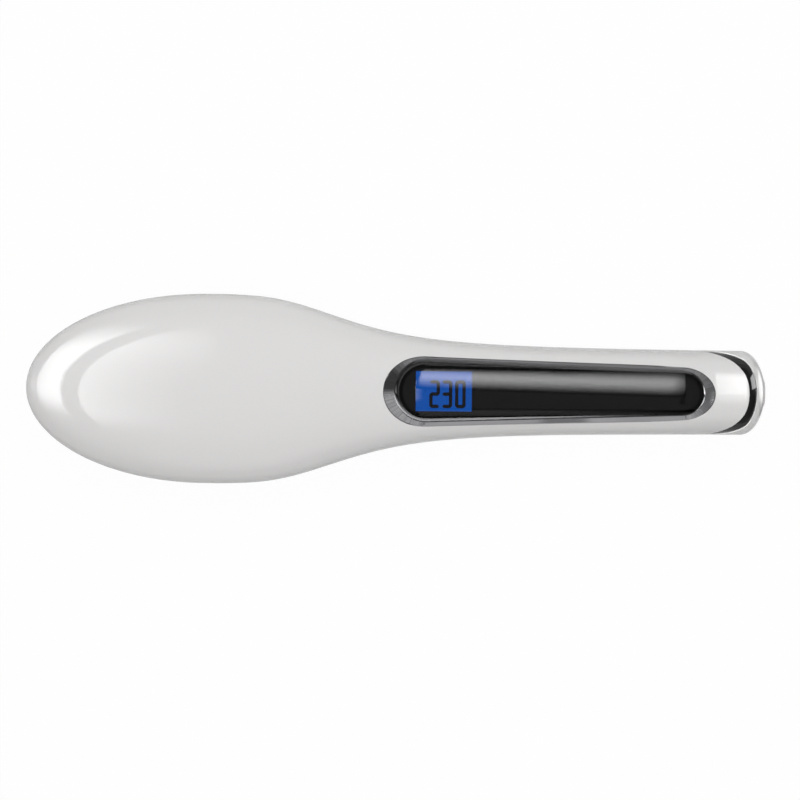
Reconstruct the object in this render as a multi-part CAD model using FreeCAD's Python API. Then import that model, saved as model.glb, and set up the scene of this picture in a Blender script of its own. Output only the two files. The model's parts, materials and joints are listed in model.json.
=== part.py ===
import FreeCAD, Part
import functools
import math
import os

from FreeCAD import Vector

# Hair straightening brush. Millimetres, X along the brush with the head at -X, Z up through the
# smooth back. The tooth tips and the underside of the tail rest on Z = 0.

# Outline seen from the back
LENGTH = 285.0  # tip of the head to the end of the tail
HEAD_WIDTH = 72.9
TIP_REACH = 69.0  # tip of the head to its widest section
HANDLE_WIDTH = 32.0
NECK_REACH = 56.7  # widest section to the middle of the shoulder
NECK_SHARPNESS = 3.4
TAIL_DOME = 9.5  # length of the rounded tail end

# Side view
TOOTH_REACH = 15.4  # comb face to the tooth tips
FACE_RECESS = 0.4  # comb face behind the flat rim round it
RIM_CROWN = 1.0  # lowest point of the front moulding below that rim
FRONT_DEPTH = 9.5  # flat rim to the parting line of the head
BACK_RISE = 15.5  # parting line of the head to the top of its back
TAIL_HEIGHT = 33.2
TOP_TILT = 0.6  # degrees, line along the top of the handle
BOTTOM_TILT = 2.0  # degrees, line along the underside of the handle
CROWN_REACH = 93.0  # widest section to the end of the slope down from the head
PARTING_REACH = 150.0  # widest section to where the parting line is level again
BELLY_REACH = 36.0  # comb to the full depth of the handle
BACK_FULLNESS = 0.62  # 0.55 is an ellipse, 1 a box
HANDLE_FULLNESS = 0.80  # the same along the display
FULL_START = 100.0  # tip of the head to where the upper half starts to grow fuller
FULL_REACH = 105.0
FULL_TAIL_GAP = 44.0  # start of the tail dome back to where the handle is full
HEAD_FULLNESS = 0.95
BELLY_FULLNESS = 0.60
STATIONS = 20

# Walls and fits
WALL = 2.2
SEAM = 0.15  # gap at a parting line
FIT = 0.15  # gap between fixed pieces that go into each other
RUNNING_FIT = 0.3  # gap between pieces that move past each other
PILOT_FIT = 0.05  # screw shank in its pilot hole
SCREW_HOLE_FIT = 0.25  # screw shank in a clearance hole

# Comb
COMB_START = 10.5  # tip of the head to the comb
COMB_LENGTH = 110.0
COMB_RIM = 8.4  # comb edge to the widest outline of the head
SEAT_RIM = 4.5  # width of the flat rim round the comb
FLANGE_RIM = 2.2
FLANGE_THICKNESS = 1.2
TOOTH_PITCH_X = 8.5
TOOTH_PITCH_Y = 7.2
TOOTH_MARGIN = 8.0  # comb edge to the outermost heated teeth
TOOTH_RADIUS = 1.6
TOOTH_END_RADIUS = 1.25
TOOTH_HOLE_GAP = 0.5
TIP_LENGTH = 5.5
TIP_RADIUS = 1.6
TIP_ROUNDING = 0.9
SOCKET_RADIUS = 2.9  # raised rim of the cover round each tooth
SOCKET_END_RADIUS = 2.5
SOCKET_RISE = 0.7
GUARD_COUNT = 36
GUARD_INSET = 3.2
GUARD_RADIUS = 1.1
GUARD_END_RADIUS = 0.7
GUARD_BALL_RADIUS = 1.05
GUARD_FOOT_RADIUS = 1.5
GUARD_FOOT_HEIGHT = 0.8
GUARD_SHORTER = 0.8  # soft pins stop short of the tooth tips

# Heater
PLATE_THICKNESS = 3.0
PLATE_INSET = 1.0
HEATER_LENGTH = 56.0
HEATER_WIDTH = 9.0
HEATER_SPACING = 12.0
HEATER_THICKNESS = 2.4
MICA_THICKNESS = 0.6
MICA_RIM = 1.0
CLAMP_THICKNESS = 0.8
CLAMP_EAR = 5.0  # heater end to the screw in each ear
CLAMP_POST_RADIUS = 3.0
BUSH_HEIGHT = 4.0
BUSH_WALL = 2.4
FUSE_RADIUS = 1.9
FUSE_LENGTH = 8.0
SENSOR_RADIUS = 1.4
SENSOR_LENGTH = 7.0
PROBE_X = 49.0  # comb centre to the ends of the fuse and the sensor
PROBE_Y = 7.5
HEATER_LEAD_RADIUS = 0.9
SENSOR_LEAD_RADIUS = 0.7
LEAD_GAP = 2.9  # sideways distance between neighbouring leads at the neck
BEND_SHARE = 0.45

# Screws
SCREW_RADIUS = 1.4
SCREW_HEAD_RADIUS = 2.3
SCREW_HEAD_HEIGHT = 1.6
SCREW_BITE = 9.0  # length of shank in a boss of the back shell
BOSS_WALL = 2.1
HEAD_SCREW_X = 36.0
HEAD_SCREW_Y = 13.0
HEAD_SCREW_SINK = 1.8
NECK_SCREW_GAP = 10.5  # comb end to the neck screws
NECK_SCREW_Y = 11.5
NECK_SCREW_SINK = 3.6
SMALL_SCREW_RADIUS = 0.9
SMALL_HEAD_RADIUS = 1.7
SMALL_HEAD_HEIGHT = 0.9
SMALL_SCREW_BITE = 2.2
SMALL_BOSS_WALL = 1.2

# Display
WINDOW_START = 143.7  # tip of the head to the window
WINDOW_TAIL_GAP = 24.5  # window to the end of the tail
WINDOW_HEAD_RADIUS = 10.3
WINDOW_TAIL_RADIUS = 7.8
WINDOW_CROWN = 20.0  # radius across the window
WINDOW_EDGE = 1.2
WINDOW_WALL = 1.6
BEZEL_DEPTH = 4.8  # top line of the handle to the edge of the window
BEZEL_SLOPE = 1.1  # widening of the bezel for each millimetre up
BEZEL_BACK_SLOPE = 1.03  # the same on its hidden side
BEZEL_WALL = 0.8
BEZEL_PROUD = 0.1
BEZEL_SKIRT = 2.2
LCD_START = 6.5  # window end to the visible display
LCD_LENGTH = 21.3
LCD_HEIGHT = 14.8
LCD_BORDER = 1.2
LCD_THICKNESS = 1.6
MASK_THICKNESS = 0.6
HOLDER_RIM = 0.8
HOLDER_THICKNESS = 2.6
BACKLIGHT_HEIGHT = 2.2
STRIP_WIDTH = 1.0

# Main board, hung under the display holder
BOARD_THICKNESS = 1.4
BOARD_WIDTH = 22.0
BOARD_OVERHANG = 3.0
BOARD_TAIL_GAP = 6.0
BOARD_SCREW_Y = 4.5
BOARD_SCREW_HEAD_GAP = 8.0
BOARD_SCREW_TAIL_GAP = 14.0
CAPACITOR_RADIUS = 4.0
CAPACITOR_LENGTH = 14.0
TRIAC_LENGTH = 10.0
TRIAC_HEIGHT = 9.0
TRIAC_THICKNESS = 4.4
TERMINAL_LENGTH = 9.0
TERMINAL_WIDTH = 13.0
TERMINAL_HEIGHT = 7.0
PART_SPACING = 5.0

# Buttons on the tooth side of the handle
PANEL_START = 152.5
PANEL_RADIUS = 7.5
PANEL_RECESS = 0.3
PANEL_THICKNESS = 1.6
PANEL_FLOOR = 2.6
PANEL_LEDGE = 2.0
BUTTON_PITCH = 13.0
BUTTON_RADIUS = 4.4
BUTTON_PROUD = 0.9
BUTTON_TRAVEL = 0.6
BUTTON_LIP = 1.1
BUTTON_FLANGE = 0.8
STEM_RADIUS = 1.8
STEM_HEIGHT = 0.7
PLUNGER_RADIUS = 1.3
PLUNGER_PROUD = 0.9
PLUNGER_SINK = 1.1
KEY_SIZE = 6.2
KEY_HEIGHT = 2.9
KEY_BOARD_THICKNESS = 1.2
KEY_BOARD_WIDTH = 12.0
KEY_SCREW_GAP = 8.5  # end button to the screw beside it
KEY_BOARD_END = 3.0

# Tail trim and cap
TRIM_REACH = 29.9  # end of the tail to the trim, at the axis of the tail
TRIM_RAKE = 54.3  # degrees from upright
TRIM_BAND = 6.4
TRIM_RECESS = 0.35
SLEEVE_WALL = 1.2
SLEEVE_REACH = 5.0

# Turning cord inlet
NOSE_RADIUS = 6.5
NOSE_END_RADIUS = 4.4
NOSE_TAPER = 0.75
CORD_RADIUS = 3.2
CORD_DEPTH = 9.0
BEARING_LENGTH = 11.0  # end of the tail to the inner face of the bearing
BEARING_WALL = 3.2
COLLAR_RADIUS = 9.0
COLLAR_THICKNESS = 2.0
SPINDLE_RADIUS = 3.4
SPINDLE_LENGTH = 9.0
PIN_RADIUS = 2.2
PIN_LENGTH = 3.4
RING_WALL = 1.2
RING_WIDTH = 1.6
RING_PITCH = 3.8
CARRIER_THICKNESS = 3.0
CARRIER_RISE = 7.0  # axis of the tail to the flat top of the carrier
SPRING_THICKNESS = 0.5
SPRING_WIDTH = 4.0
SUPPLY_LEAD_RADIUS = 0.9

# Places worked out from the sizes above
FAR = 200.0  # beyond every piece
DOME_START = LENGTH - TAIL_DOME
SEAT_Z = TOOTH_REACH - FACE_RECESS
HEAD_BOTTOM = SEAT_Z - RIM_CROWN
HEAD_PARTING = SEAT_Z + FRONT_DEPTH
HEAD_TOP = HEAD_PARTING + BACK_RISE
TAIL_AXIS = TAIL_HEIGHT / 2.0
COMB_X = COMB_START + COMB_LENGTH / 2.0 - LENGTH / 2.0
COMB_A = COMB_LENGTH / 2.0
COMB_B = HEAD_WIDTH / 2.0 - COMB_RIM
COMB_END = COMB_START + COMB_LENGTH
COVER_SEAT = SEAT_Z + WALL
COVER_TOP = COVER_SEAT + FLANGE_THICKNESS
PLATE_TOP = COVER_TOP + PLATE_THICKNESS
HEATER_TOP = PLATE_TOP + HEATER_THICKNESS
MICA_TOP = HEATER_TOP + MICA_THICKNESS
CLAMP_TOP = MICA_TOP + CLAMP_THICKNESS
BUSH_TOP = PLATE_TOP + BUSH_HEIGHT
HEAD_SCREW_SEAT = TOOTH_REACH + HEAD_SCREW_SINK
HEAD_SCREWS = [(COMB_X + i * HEAD_SCREW_X, j * HEAD_SCREW_Y) for i in (-1, 1) for j in (-1, 1)]
NECK_SCREW_X = COMB_END + NECK_SCREW_GAP - LENGTH / 2.0
NECK_SCREWS = [(NECK_SCREW_X, -NECK_SCREW_Y), (NECK_SCREW_X, NECK_SCREW_Y)]
BOSS_RADIUS = SCREW_RADIUS + BOSS_WALL
SLEEVE_OUTSIDE = WALL + FIT
SLEEVE_INSIDE = SLEEVE_OUTSIDE + SLEEVE_WALL
TRIM_START = LENGTH - TRIM_REACH
TRIM_END = TRIM_START + TRIM_BAND
BEARING_X = LENGTH / 2.0 - BEARING_LENGTH


def along(distance):
    """X of a section at this distance from the tip of the head."""
    return distance - LENGTH / 2.0


def ease(value, start, end):
    """Smooth step from 0 at start to 1 at end, level at both ends."""
    t = min(max((value - start) / (end - start), 0.0), 1.0)
    return t ** 3 * (t * (6.0 * t - 15.0) + 10.0)


def half_width(distance):
    """Half the width of the outline, from the widest section to the tail."""
    swell = (HEAD_WIDTH - HANDLE_WIDTH) / 2.0
    return HANDLE_WIDTH / 2.0 + swell / (1.0 + ((distance - TIP_REACH) / NECK_REACH) ** NECK_SHARPNESS)


def parting_line(distance):
    """Height of the line where the two shells meet."""
    drop = ease(distance, TIP_REACH, TIP_REACH + PARTING_REACH)
    return HEAD_PARTING + (TAIL_AXIS - HEAD_PARTING) * drop


def top_line(distance):
    """Height of the ridge of the back."""
    def handle_line(at):
        return TAIL_HEIGHT + (DOME_START - at) * math.tan(math.radians(TOP_TILT))
    slope = 1.0 - ease(distance, TIP_REACH, TIP_REACH + CROWN_REACH)
    return handle_line(distance) + (HEAD_TOP - handle_line(TIP_REACH)) * slope


def bottom_line(distance):
    """Height of the underside: level under the comb, then the belly of the handle."""
    handle = (DOME_START - distance) * math.tan(math.radians(BOTTOM_TILT))
    return handle + (HEAD_BOTTOM - handle) * (1.0 - ease(distance, COMB_END, COMB_END + BELLY_REACH))


def belly_fullness(distance):
    """Fullness of the lower half: a flat dish at the head, round at the handle."""
    change = ease(distance, COMB_END - BELLY_REACH / 2.0, COMB_END + BELLY_REACH)
    return HEAD_FULLNESS + (BELLY_FULLNESS - HEAD_FULLNESS) * change


def back_fullness(distance):
    """Fullness of the upper half: round at the head and tail, fuller along the display."""
    change = ease(distance, FULL_START, FULL_START + FULL_REACH)
    change -= ease(distance, DOME_START - FULL_TAIL_GAP, DOME_START)
    return BACK_FULLNESS + (HANDLE_FULLNESS - BACK_FULLNESS) * change


def quarter(x, half, height, middle, fullness):
    """Poles of a quarter of a section, from its side to its centre line."""
    return [Vector(x, half, middle),
            Vector(x, half, middle + fullness * height),
            Vector(x, fullness * half, middle + height),
            Vector(x, 0.0, middle + height)]


def bezier(poles):
    """Edge of a Bezier curve."""
    curve = Part.BezierCurve()
    curve.setPoles(poles)
    return curve.toShape()


def section_quarters(distance, inset):
    """Upper and lower quarter of a section on the +Y side, and the mirrored pair."""
    x = along(distance)
    half = half_width(distance) - inset
    middle = parting_line(distance)
    rise = top_line(distance) - inset - middle
    fall = bottom_line(distance) + inset - middle
    quarters = []
    for side in (half, -half):
        quarters.append(quarter(x, side, rise, middle, back_fullness(distance)))
        quarters.append(quarter(x, side, fall, middle, belly_fullness(distance)))
    return quarters


def section(distance, inset):
    """Closed wire of a whole section."""
    upper, lower, far_upper, far_lower = section_quarters(distance, inset)
    poles = (upper, far_upper[::-1], far_lower, lower[::-1])
    return Part.Wire([bezier(points) for points in poles])


def rounded_end(distance, reach, inset, turn):
    """Half a turn of a section about its upright axis, stretched to the reach of that end."""
    upper, lower, _, _ = section_quarters(distance, inset)
    axis_edge = Part.LineSegment(upper[-1], lower[-1]).toShape()
    face = Part.Face(Part.Wire([bezier(upper), axis_edge, bezier(lower[::-1])]))
    x = along(distance)
    half_turn = face.revolve(Vector(x, 0, 0), Vector(0, 0, 1), turn)
    stretch = FreeCAD.Matrix()
    stretch.move(Vector(-x, 0, 0))
    stretch.scale(Vector((reach - inset) / (half_width(distance) - inset), 1, 1))
    stretch.move(Vector(x, 0, 0))
    return half_turn.transformGeometry(stretch)


@functools.lru_cache(maxsize=None)
def body(inset):
    """The whole outside of the brush, drawn in by inset all round."""
    step = (DOME_START - TIP_REACH) / (STATIONS - 1)
    sections = [section(TIP_REACH + step * i, inset) for i in range(STATIONS)]
    middle = Part.makeLoft(sections, True, False)
    head = rounded_end(TIP_REACH, TIP_REACH, inset, 180)
    tail = rounded_end(DOME_START, TAIL_DOME, inset, -180)
    return head.fuse([middle, tail]).Solids[0]


def layer(outer_inset, inner_inset):
    """The skin of the brush between two depths."""
    return body(outer_inset).cut(body(inner_inset))


def profile_prism(points):
    """Prism across the brush with a side view through these (x, z) points."""
    corners = [Vector(x, -FAR, z) for x, z in points]
    wire = Part.makePolygon(corners + corners[:1])
    return Part.Face(wire).extrude(Vector(0, 2.0 * FAR, 0))


def above_parting(gap):
    """Everything above the parting line, lifted by gap."""
    step = PARTING_REACH / (STATIONS - 1)
    slope = [TIP_REACH + step * i for i in range(STATIONS)]
    points = [Vector(along(at), -FAR, parting_line(at) + gap) for at in slope]
    curve = Part.BSplineCurve()
    curve.interpolate(points, InitialTangent=Vector(1, 0, 0), FinalTangent=Vector(1, 0, 0))
    corners = [points[-1], Vector(FAR, -FAR, points[-1].z), Vector(FAR, -FAR, FAR),
               Vector(-FAR, -FAR, FAR), Vector(-FAR, -FAR, points[0].z), points[0]]
    edges = [Part.LineSegment(a, b).toShape() for a, b in zip(corners, corners[1:])]
    face = Part.Face(Part.Wire([curve.toShape()] + edges))
    return face.extrude(Vector(0, 2.0 * FAR, 0))


def tailward(distance):
    """Everything past the slanted plane that crosses the tail axis at this distance."""
    slope = math.tan(math.radians(TRIM_RAKE))
    low = along(distance) - (FAR + TAIL_AXIS) * slope
    high = along(distance) + (FAR - TAIL_AXIS) * slope
    end = high + FAR
    return profile_prism([(low, -FAR), (high, FAR), (end, FAR), (end, -FAR)])


def post(x, y, low, high, radius):
    """Upright round bar."""
    return Part.makeCylinder(radius, high - low, Vector(x, y, low))


def bar(start, end, radius):
    """Round bar on the axis of the tail, between two X values."""
    return Part.makeCylinder(radius, end - start, Vector(start, 0, TAIL_AXIS), Vector(1, 0, 0))


def block(x_low, x_high, y_low, y_high, z_low, z_high):
    """Box between two corners."""
    size = (x_high - x_low, y_high - y_low, z_high - z_low)
    return Part.makeBox(*size, Vector(x_low, y_low, z_low))


def oval(grow, low, high):
    """Upright oval prism on the outline of the comb, grown by grow."""
    ellipse = Part.Ellipse(Vector(COMB_X, 0, low), COMB_A + grow, COMB_B + grow)
    return Part.Face(Part.Wire(ellipse.toShape())).extrude(Vector(0, 0, high - low))


def screw(x, y, seat, up, radius, head_radius, head_height, length):
    """Screw whose head bears on a face at height seat, with the shank up or down from it."""
    shank_way = Vector(0, 0, 1 if up else -1)
    seat_point = Vector(x, y, seat)
    shank = Part.makeCylinder(radius, length, seat_point, shank_way)
    head = Part.makeCylinder(head_radius, head_height, seat_point, shank_way * -1.0)
    return shank.fuse(head)


def lead(points, radius):
    """Round wire along straight runs that are joined by tangent arcs."""
    edges = []
    start = points[0]
    for before, corner, after in zip(points, points[1:], points[2:]):
        back = before - corner
        ahead = after - corner
        reach = BEND_SHARE * min(back.Length, ahead.Length)
        half_turn = (math.pi - back.getAngle(ahead)) / 2.0
        back.normalize()
        ahead.normalize()
        bend = reach / math.tan(half_turn)
        inward = (back + ahead).normalize()
        crest = corner + inward * (bend / math.cos(half_turn) - bend)
        edges.append(Part.LineSegment(start, corner + back * reach).toShape())
        edges.append(Part.Arc(corner + back * reach, crest, corner + ahead * reach).toShape())
        start = corner + ahead * reach
    edges.append(Part.LineSegment(start, points[-1]).toShape())
    circle = Part.Circle(points[0], points[1] - points[0], radius)
    return Part.Wire(edges).makePipeShell([Part.Wire(circle.toShape())], True, False)


class Pill:
    """Long outline with a round end at the head side and one at the tail side."""

    def __init__(self, head_x, head_radius, tail_x, tail_radius):
        self.head_x = head_x
        self.head_radius = head_radius
        self.tail_x = tail_x
        self.tail_radius = tail_radius

    def wire(self, grow, z):
        """Closed outline at height z, grown by grow."""
        head = self.head_radius + grow
        tail = self.tail_radius + grow
        corners = [Vector(self.head_x, head, z), Vector(self.head_x, -head, z),
                   Vector(self.tail_x, -tail, z), Vector(self.tail_x, tail, z)]
        head_end = Vector(self.head_x - head, 0, z)
        tail_end = Vector(self.tail_x + tail, 0, z)
        return Part.Wire([Part.Arc(corners[0], head_end, corners[1]).toShape(),
                          Part.LineSegment(corners[1], corners[2]).toShape(),
                          Part.Arc(corners[2], tail_end, corners[3]).toShape(),
                          Part.LineSegment(corners[3], corners[0]).toShape()])

    def prism(self, grow, low, high):
        """Upright prism."""
        return Part.Face(self.wire(grow, low)).extrude(Vector(0, 0, high - low))

    def taper(self, low_grow, low, high_grow, high):
        """Solid that widens from one height to another."""
        return Part.makeLoft([self.wire(low_grow, low), self.wire(high_grow, high)], True, True)

    def dome(self, grow, low, crown):
        """Domed solid with the radius crown across it, and round ends."""
        halves = []
        arches = []
        for x, radius, turn in ((self.head_x, self.head_radius + grow, 180),
                                (self.tail_x, self.tail_radius + grow, -180)):
            rise = crown - math.sqrt(crown ** 2 - radius ** 2)
            foot = Vector(x, radius, low)
            top = Vector(x, 0, low + rise)
            swing = math.asin(radius / crown) / 2.0
            shoulder = Vector(x, crown * math.sin(swing), low + rise - crown * (1.0 - math.cos(swing)))
            middle = Vector(x, 0, low)
            half_arch = [Part.Arc(foot, shoulder, top).toShape(),
                         Part.LineSegment(top, middle).toShape(),
                         Part.LineSegment(middle, foot).toShape()]
            face = Part.Face(Part.Wire(half_arch))
            halves.append(face.revolve(middle, Vector(0, 0, 1), turn))
            far_foot = Vector(x, -radius, low)
            arches.append(Part.Wire([Part.Arc(foot, top, far_foot).toShape(),
                                     Part.LineSegment(far_foot, foot).toShape()]))
        return Part.makeLoft(arches, True, True).fuse(halves)


WINDOW = Pill(along(WINDOW_START) + WINDOW_HEAD_RADIUS, WINDOW_HEAD_RADIUS,
              along(LENGTH - WINDOW_TAIL_GAP) - WINDOW_TAIL_RADIUS, WINDOW_TAIL_RADIUS)
WINDOW_Z = top_line(WINDOW_START) - BEZEL_DEPTH
HOLDER_TOP = WINDOW_Z - WINDOW_EDGE
HOLDER_LOW = HOLDER_TOP - HOLDER_THICKNESS
LCD_TOP = HOLDER_TOP - MASK_THICKNESS
LCD_LOW = LCD_TOP - LCD_THICKNESS
LCD_X = along(WINDOW_START + LCD_START) + LCD_LENGTH / 2.0
LCD_GLASS_X = LCD_LENGTH / 2.0 + LCD_BORDER
LCD_GLASS_Y = LCD_HEIGHT / 2.0 + LCD_BORDER
BOARD_TOP = LCD_LOW - BACKLIGHT_HEIGHT
BOARD_LOW = BOARD_TOP - BOARD_THICKNESS
BOARD_START = LCD_X - LCD_GLASS_X - BOARD_OVERHANG
BOARD_END = WINDOW.tail_x - BOARD_TAIL_GAP
BOARD_SCREWS = [(x, side * BOARD_SCREW_Y)
                for x in (LCD_X + LCD_GLASS_X + BOARD_SCREW_HEAD_GAP, BOARD_END - BOARD_SCREW_TAIL_GAP)
                for side in (-1, 1)]

BUTTON_X = [along(PANEL_START) + PANEL_RADIUS + i * BUTTON_PITCH for i in range(3)]
PANEL = Pill(BUTTON_X[0], PANEL_RADIUS, BUTTON_X[-1], PANEL_RADIUS)
POCKET_DEPTH = PANEL_RECESS + PANEL_THICKNESS + FIT
FLOOR_TOP = bottom_line(PANEL_START) + POCKET_DEPTH + PANEL_FLOOR
FLANGE_LOW = FLOOR_TOP + RUNNING_FIT
STEM_LOW = FLANGE_LOW + BUTTON_FLANGE
STEM_TOP = STEM_LOW + STEM_HEIGHT
KEY_LOW = STEM_TOP + PLUNGER_PROUD
KEY_TOP = KEY_LOW + KEY_HEIGHT
KEY_SCREWS = [(BUTTON_X[0] - KEY_SCREW_GAP, 0.0), (BUTTON_X[-1] + KEY_SCREW_GAP, 0.0)]

TERMINAL_X = BOARD_END - TERMINAL_LENGTH
SPINDLE_X = BEARING_X - RUNNING_FIT - COLLAR_THICKNESS - SPINDLE_LENGTH
CARRIER_X = SPINDLE_X - RUNNING_FIT - CARRIER_THICKNESS


def tooth_places():
    """(x, y) of each heated tooth: a grid inside an oval, left out round the head screws."""
    reach_x = COMB_A - TOOTH_MARGIN
    reach_y = COMB_B - TOOTH_MARGIN
    columns = int(reach_x / TOOTH_PITCH_X)
    rows = int(reach_y / TOOTH_PITCH_Y)
    keep_off = SCREW_HEAD_RADIUS + TOOTH_RADIUS + 2.0 * TOOTH_HOLE_GAP
    places = []
    for column in range(-columns, columns + 1):
        for row in range(-rows, rows + 1):
            x = column * TOOTH_PITCH_X
            y = row * TOOTH_PITCH_Y
            inside = (x / reach_x) ** 2 + (y / reach_y) ** 2 <= 1.0
            clear = math.hypot(abs(x) - HEAD_SCREW_X, abs(y) - HEAD_SCREW_Y) > keep_off
            if inside and clear:
                places.append((COMB_X + x, y))
    return places


def guard_places():
    """(x, y) of each soft pin, evenly spaced round the rim of the comb."""
    ellipse = Part.Ellipse(Vector(COMB_X, 0, 0), COMB_A - GUARD_INSET, COMB_B - GUARD_INSET)
    points = ellipse.toShape().discretize(Number=GUARD_COUNT + 1)
    return [(point.x, point.y) for point in points[:-1]]


def shell_boss(x, y, low, high):
    """Screw boss that ends inside the wall of the shell."""
    return post(x, y, low, high, BOSS_RADIUS).common(body(WALL / 2.0))


def back_shell():
    """Moulded back of the head and handle, with the opening for the display."""
    shell = layer(0.0, WALL).common(above_parting(SEAM / 2.0))
    bosses = [shell_boss(x, y, BUSH_TOP, FAR) for x, y in HEAD_SCREWS]
    bosses += [shell_boss(x, y, parting_line(NECK_SCREW_X + LENGTH / 2.0) + SEAM, FAR)
               for x, y in NECK_SCREWS]
    shell = shell.fuse(bosses)
    rim = BEZEL_WALL + FIT
    openings = [bezel_cone(rim, BEZEL_BACK_SLOPE),
                WINDOW.prism(rim, WINDOW_Z - BEZEL_SKIRT - FIT, WINDOW_Z)]
    pilots = [post(x, y, BUSH_TOP, HEAD_SCREW_SEAT + head_screw_length(), SCREW_RADIUS + PILOT_FIT)
              for x, y in HEAD_SCREWS]
    pilots += [post(x, y, neck_seat(), neck_seat() + neck_screw_length(), SCREW_RADIUS + PILOT_FIT)
               for x, y in NECK_SCREWS]
    return shell.cut(openings + pilots + [tailward(TRIM_START)])


def front_shell():
    """Moulded front: dish round the comb, belly of the handle, pocket for the buttons."""
    floors = [oval(SEAT_RIM, -FAR, COVER_SEAT),
              PANEL.prism(PANEL_LEDGE, -FAR, FLOOR_TOP)]
    hollow = body(WALL).cut(floors)
    hollow = hollow.fuse(oval(FLANGE_RIM + FIT, COVER_SEAT, HEAD_PARTING))
    shell = body(0.0).cut([hollow, above_parting(-SEAM / 2.0)])
    neck_top = parting_line(NECK_SCREW_X + LENGTH / 2.0) - SEAM
    bosses = [shell_boss(x, y, 0.0, neck_top) for x, y in NECK_SCREWS]
    key_boss = SMALL_SCREW_RADIUS + SMALL_BOSS_WALL
    bosses += [post(x, y, 0.0, KEY_TOP, key_boss).common(body(WALL / 2.0)) for x, y in KEY_SCREWS]
    shell = shell.fuse(bosses)
    cuts = [oval(SEAT_RIM, -FAR, SEAT_Z), oval(FIT, -FAR, HEAD_PARTING), tailward(TRIM_START)]
    cuts.append(PANEL.prism(FIT, -FAR, FLOOR_TOP).cut(body(POCKET_DEPTH)))
    cuts += [post(x, 0.0, -FAR, FLOOR_TOP, BUTTON_RADIUS + RUNNING_FIT) for x in BUTTON_X]
    cuts += [post(x, y, KEY_TOP - SMALL_SCREW_BITE, KEY_TOP, SMALL_SCREW_RADIUS + PILOT_FIT)
             for x, y in KEY_SCREWS]
    for x, y in NECK_SCREWS:
        cuts.append(post(x, y, -FAR, neck_seat(), SCREW_HEAD_RADIUS + SCREW_HOLE_FIT))
        cuts.append(post(x, y, -FAR, neck_top, SCREW_RADIUS + SCREW_HOLE_FIT))
    return shell.cut(cuts)


def bezel_cone(grow, slope):
    """Solid that widens upwards from the edge of the window, past the top of the back."""
    rise = BEZEL_DEPTH * 2.0
    return WINDOW.taper(grow, WINDOW_Z, grow + rise * slope, WINDOW_Z + rise)


def head_screw_length():
    """Shank of a head screw: through cover, plate and bush, then the bite in its boss."""
    return BUSH_TOP + SCREW_BITE - HEAD_SCREW_SEAT


def neck_seat():
    """Height at which the heads of the neck screws bear on the front shell."""
    return bottom_line(NECK_SCREW_X + LENGTH / 2.0) + NECK_SCREW_SINK


def neck_screw_length():
    """Shank of a neck screw, with its bite in the back shell."""
    return parting_line(NECK_SCREW_X + LENGTH / 2.0) + SCREW_BITE - neck_seat()


def casing_screws(places, seat, length):
    """Group of casing screws, put in from the tooth side."""
    size = (SCREW_RADIUS, SCREW_HEAD_RADIUS, SCREW_HEAD_HEIGHT, length)
    return Part.Compound([screw(x, y, seat, True, *size) for x, y in places])


def small_screws(places, seat, up, length):
    """Group of small screws."""
    size = (SMALL_SCREW_RADIUS, SMALL_HEAD_RADIUS, SMALL_HEAD_HEIGHT, length)
    return Part.Compound([screw(x, y, seat, up, *size) for x, y in places])


def comb_cover():
    """Plate that closes the head, with a rimmed hole for each heated tooth."""
    plate = oval(0.0, TOOTH_REACH, COVER_TOP)
    socket_low = TOOTH_REACH - SOCKET_RISE
    sockets = [Part.makeCone(SOCKET_END_RADIUS, SOCKET_RADIUS, SOCKET_RISE, Vector(x, y, socket_low))
               for x, y in tooth_places()]
    plate = plate.fuse([oval(FLANGE_RIM, COVER_SEAT, COVER_TOP)] + sockets)
    hole = TOOTH_RADIUS + TOOTH_HOLE_GAP
    holes = [post(x, y, socket_low, COVER_TOP, hole) for x, y in tooth_places()]
    for x, y in HEAD_SCREWS:
        holes.append(post(x, y, TOOTH_REACH, HEAD_SCREW_SEAT, SCREW_HEAD_RADIUS + SCREW_HOLE_FIT))
        holes.append(post(x, y, TOOTH_REACH, COVER_TOP, SCREW_RADIUS + SCREW_HOLE_FIT))
    return plate.cut(holes)


def heated_teeth():
    """Tapered metal teeth under the heat plate."""
    length = COVER_TOP - TIP_LENGTH
    teeth = [Part.makeCone(TOOTH_END_RADIUS, TOOTH_RADIUS, length, Vector(x, y, TIP_LENGTH))
             for x, y in tooth_places()]
    return Part.Compound(teeth)


def tooth_tips():
    """Cool tip on each heated tooth, with a rounded end."""
    tips = []
    for x, y in tooth_places():
        tip = post(x, y, 0.0, TIP_LENGTH, TIP_RADIUS)
        rim = [edge for edge in tip.Edges if edge.BoundBox.ZMax < TIP_ROUNDING]
        tips.append(tip.makeFillet(TIP_ROUNDING, rim))
    return Part.Compound(tips)


def guard_bristles():
    """Soft pins round the rim of the comb, each with a foot and a ball at its end."""
    pins = []
    middle = GUARD_SHORTER + GUARD_BALL_RADIUS
    foot_low = TOOTH_REACH - GUARD_FOOT_HEIGHT
    for x, y in guard_places():
        pin = Part.makeCone(GUARD_END_RADIUS, GUARD_RADIUS, TOOTH_REACH - middle, Vector(x, y, middle))
        ball = Part.makeSphere(GUARD_BALL_RADIUS, Vector(x, y, middle))
        foot = Part.makeCone(GUARD_RADIUS, GUARD_FOOT_RADIUS, GUARD_FOOT_HEIGHT, Vector(x, y, foot_low))
        pins.append(pin.fuse([ball, foot]))
    return Part.Compound(pins)


def clamp_places():
    """(x, y) of the two clamp screws."""
    reach = HEATER_LENGTH / 2.0 + CLAMP_EAR
    return [(COMB_X - reach, 0.0), (COMB_X + reach, 0.0)]


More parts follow.
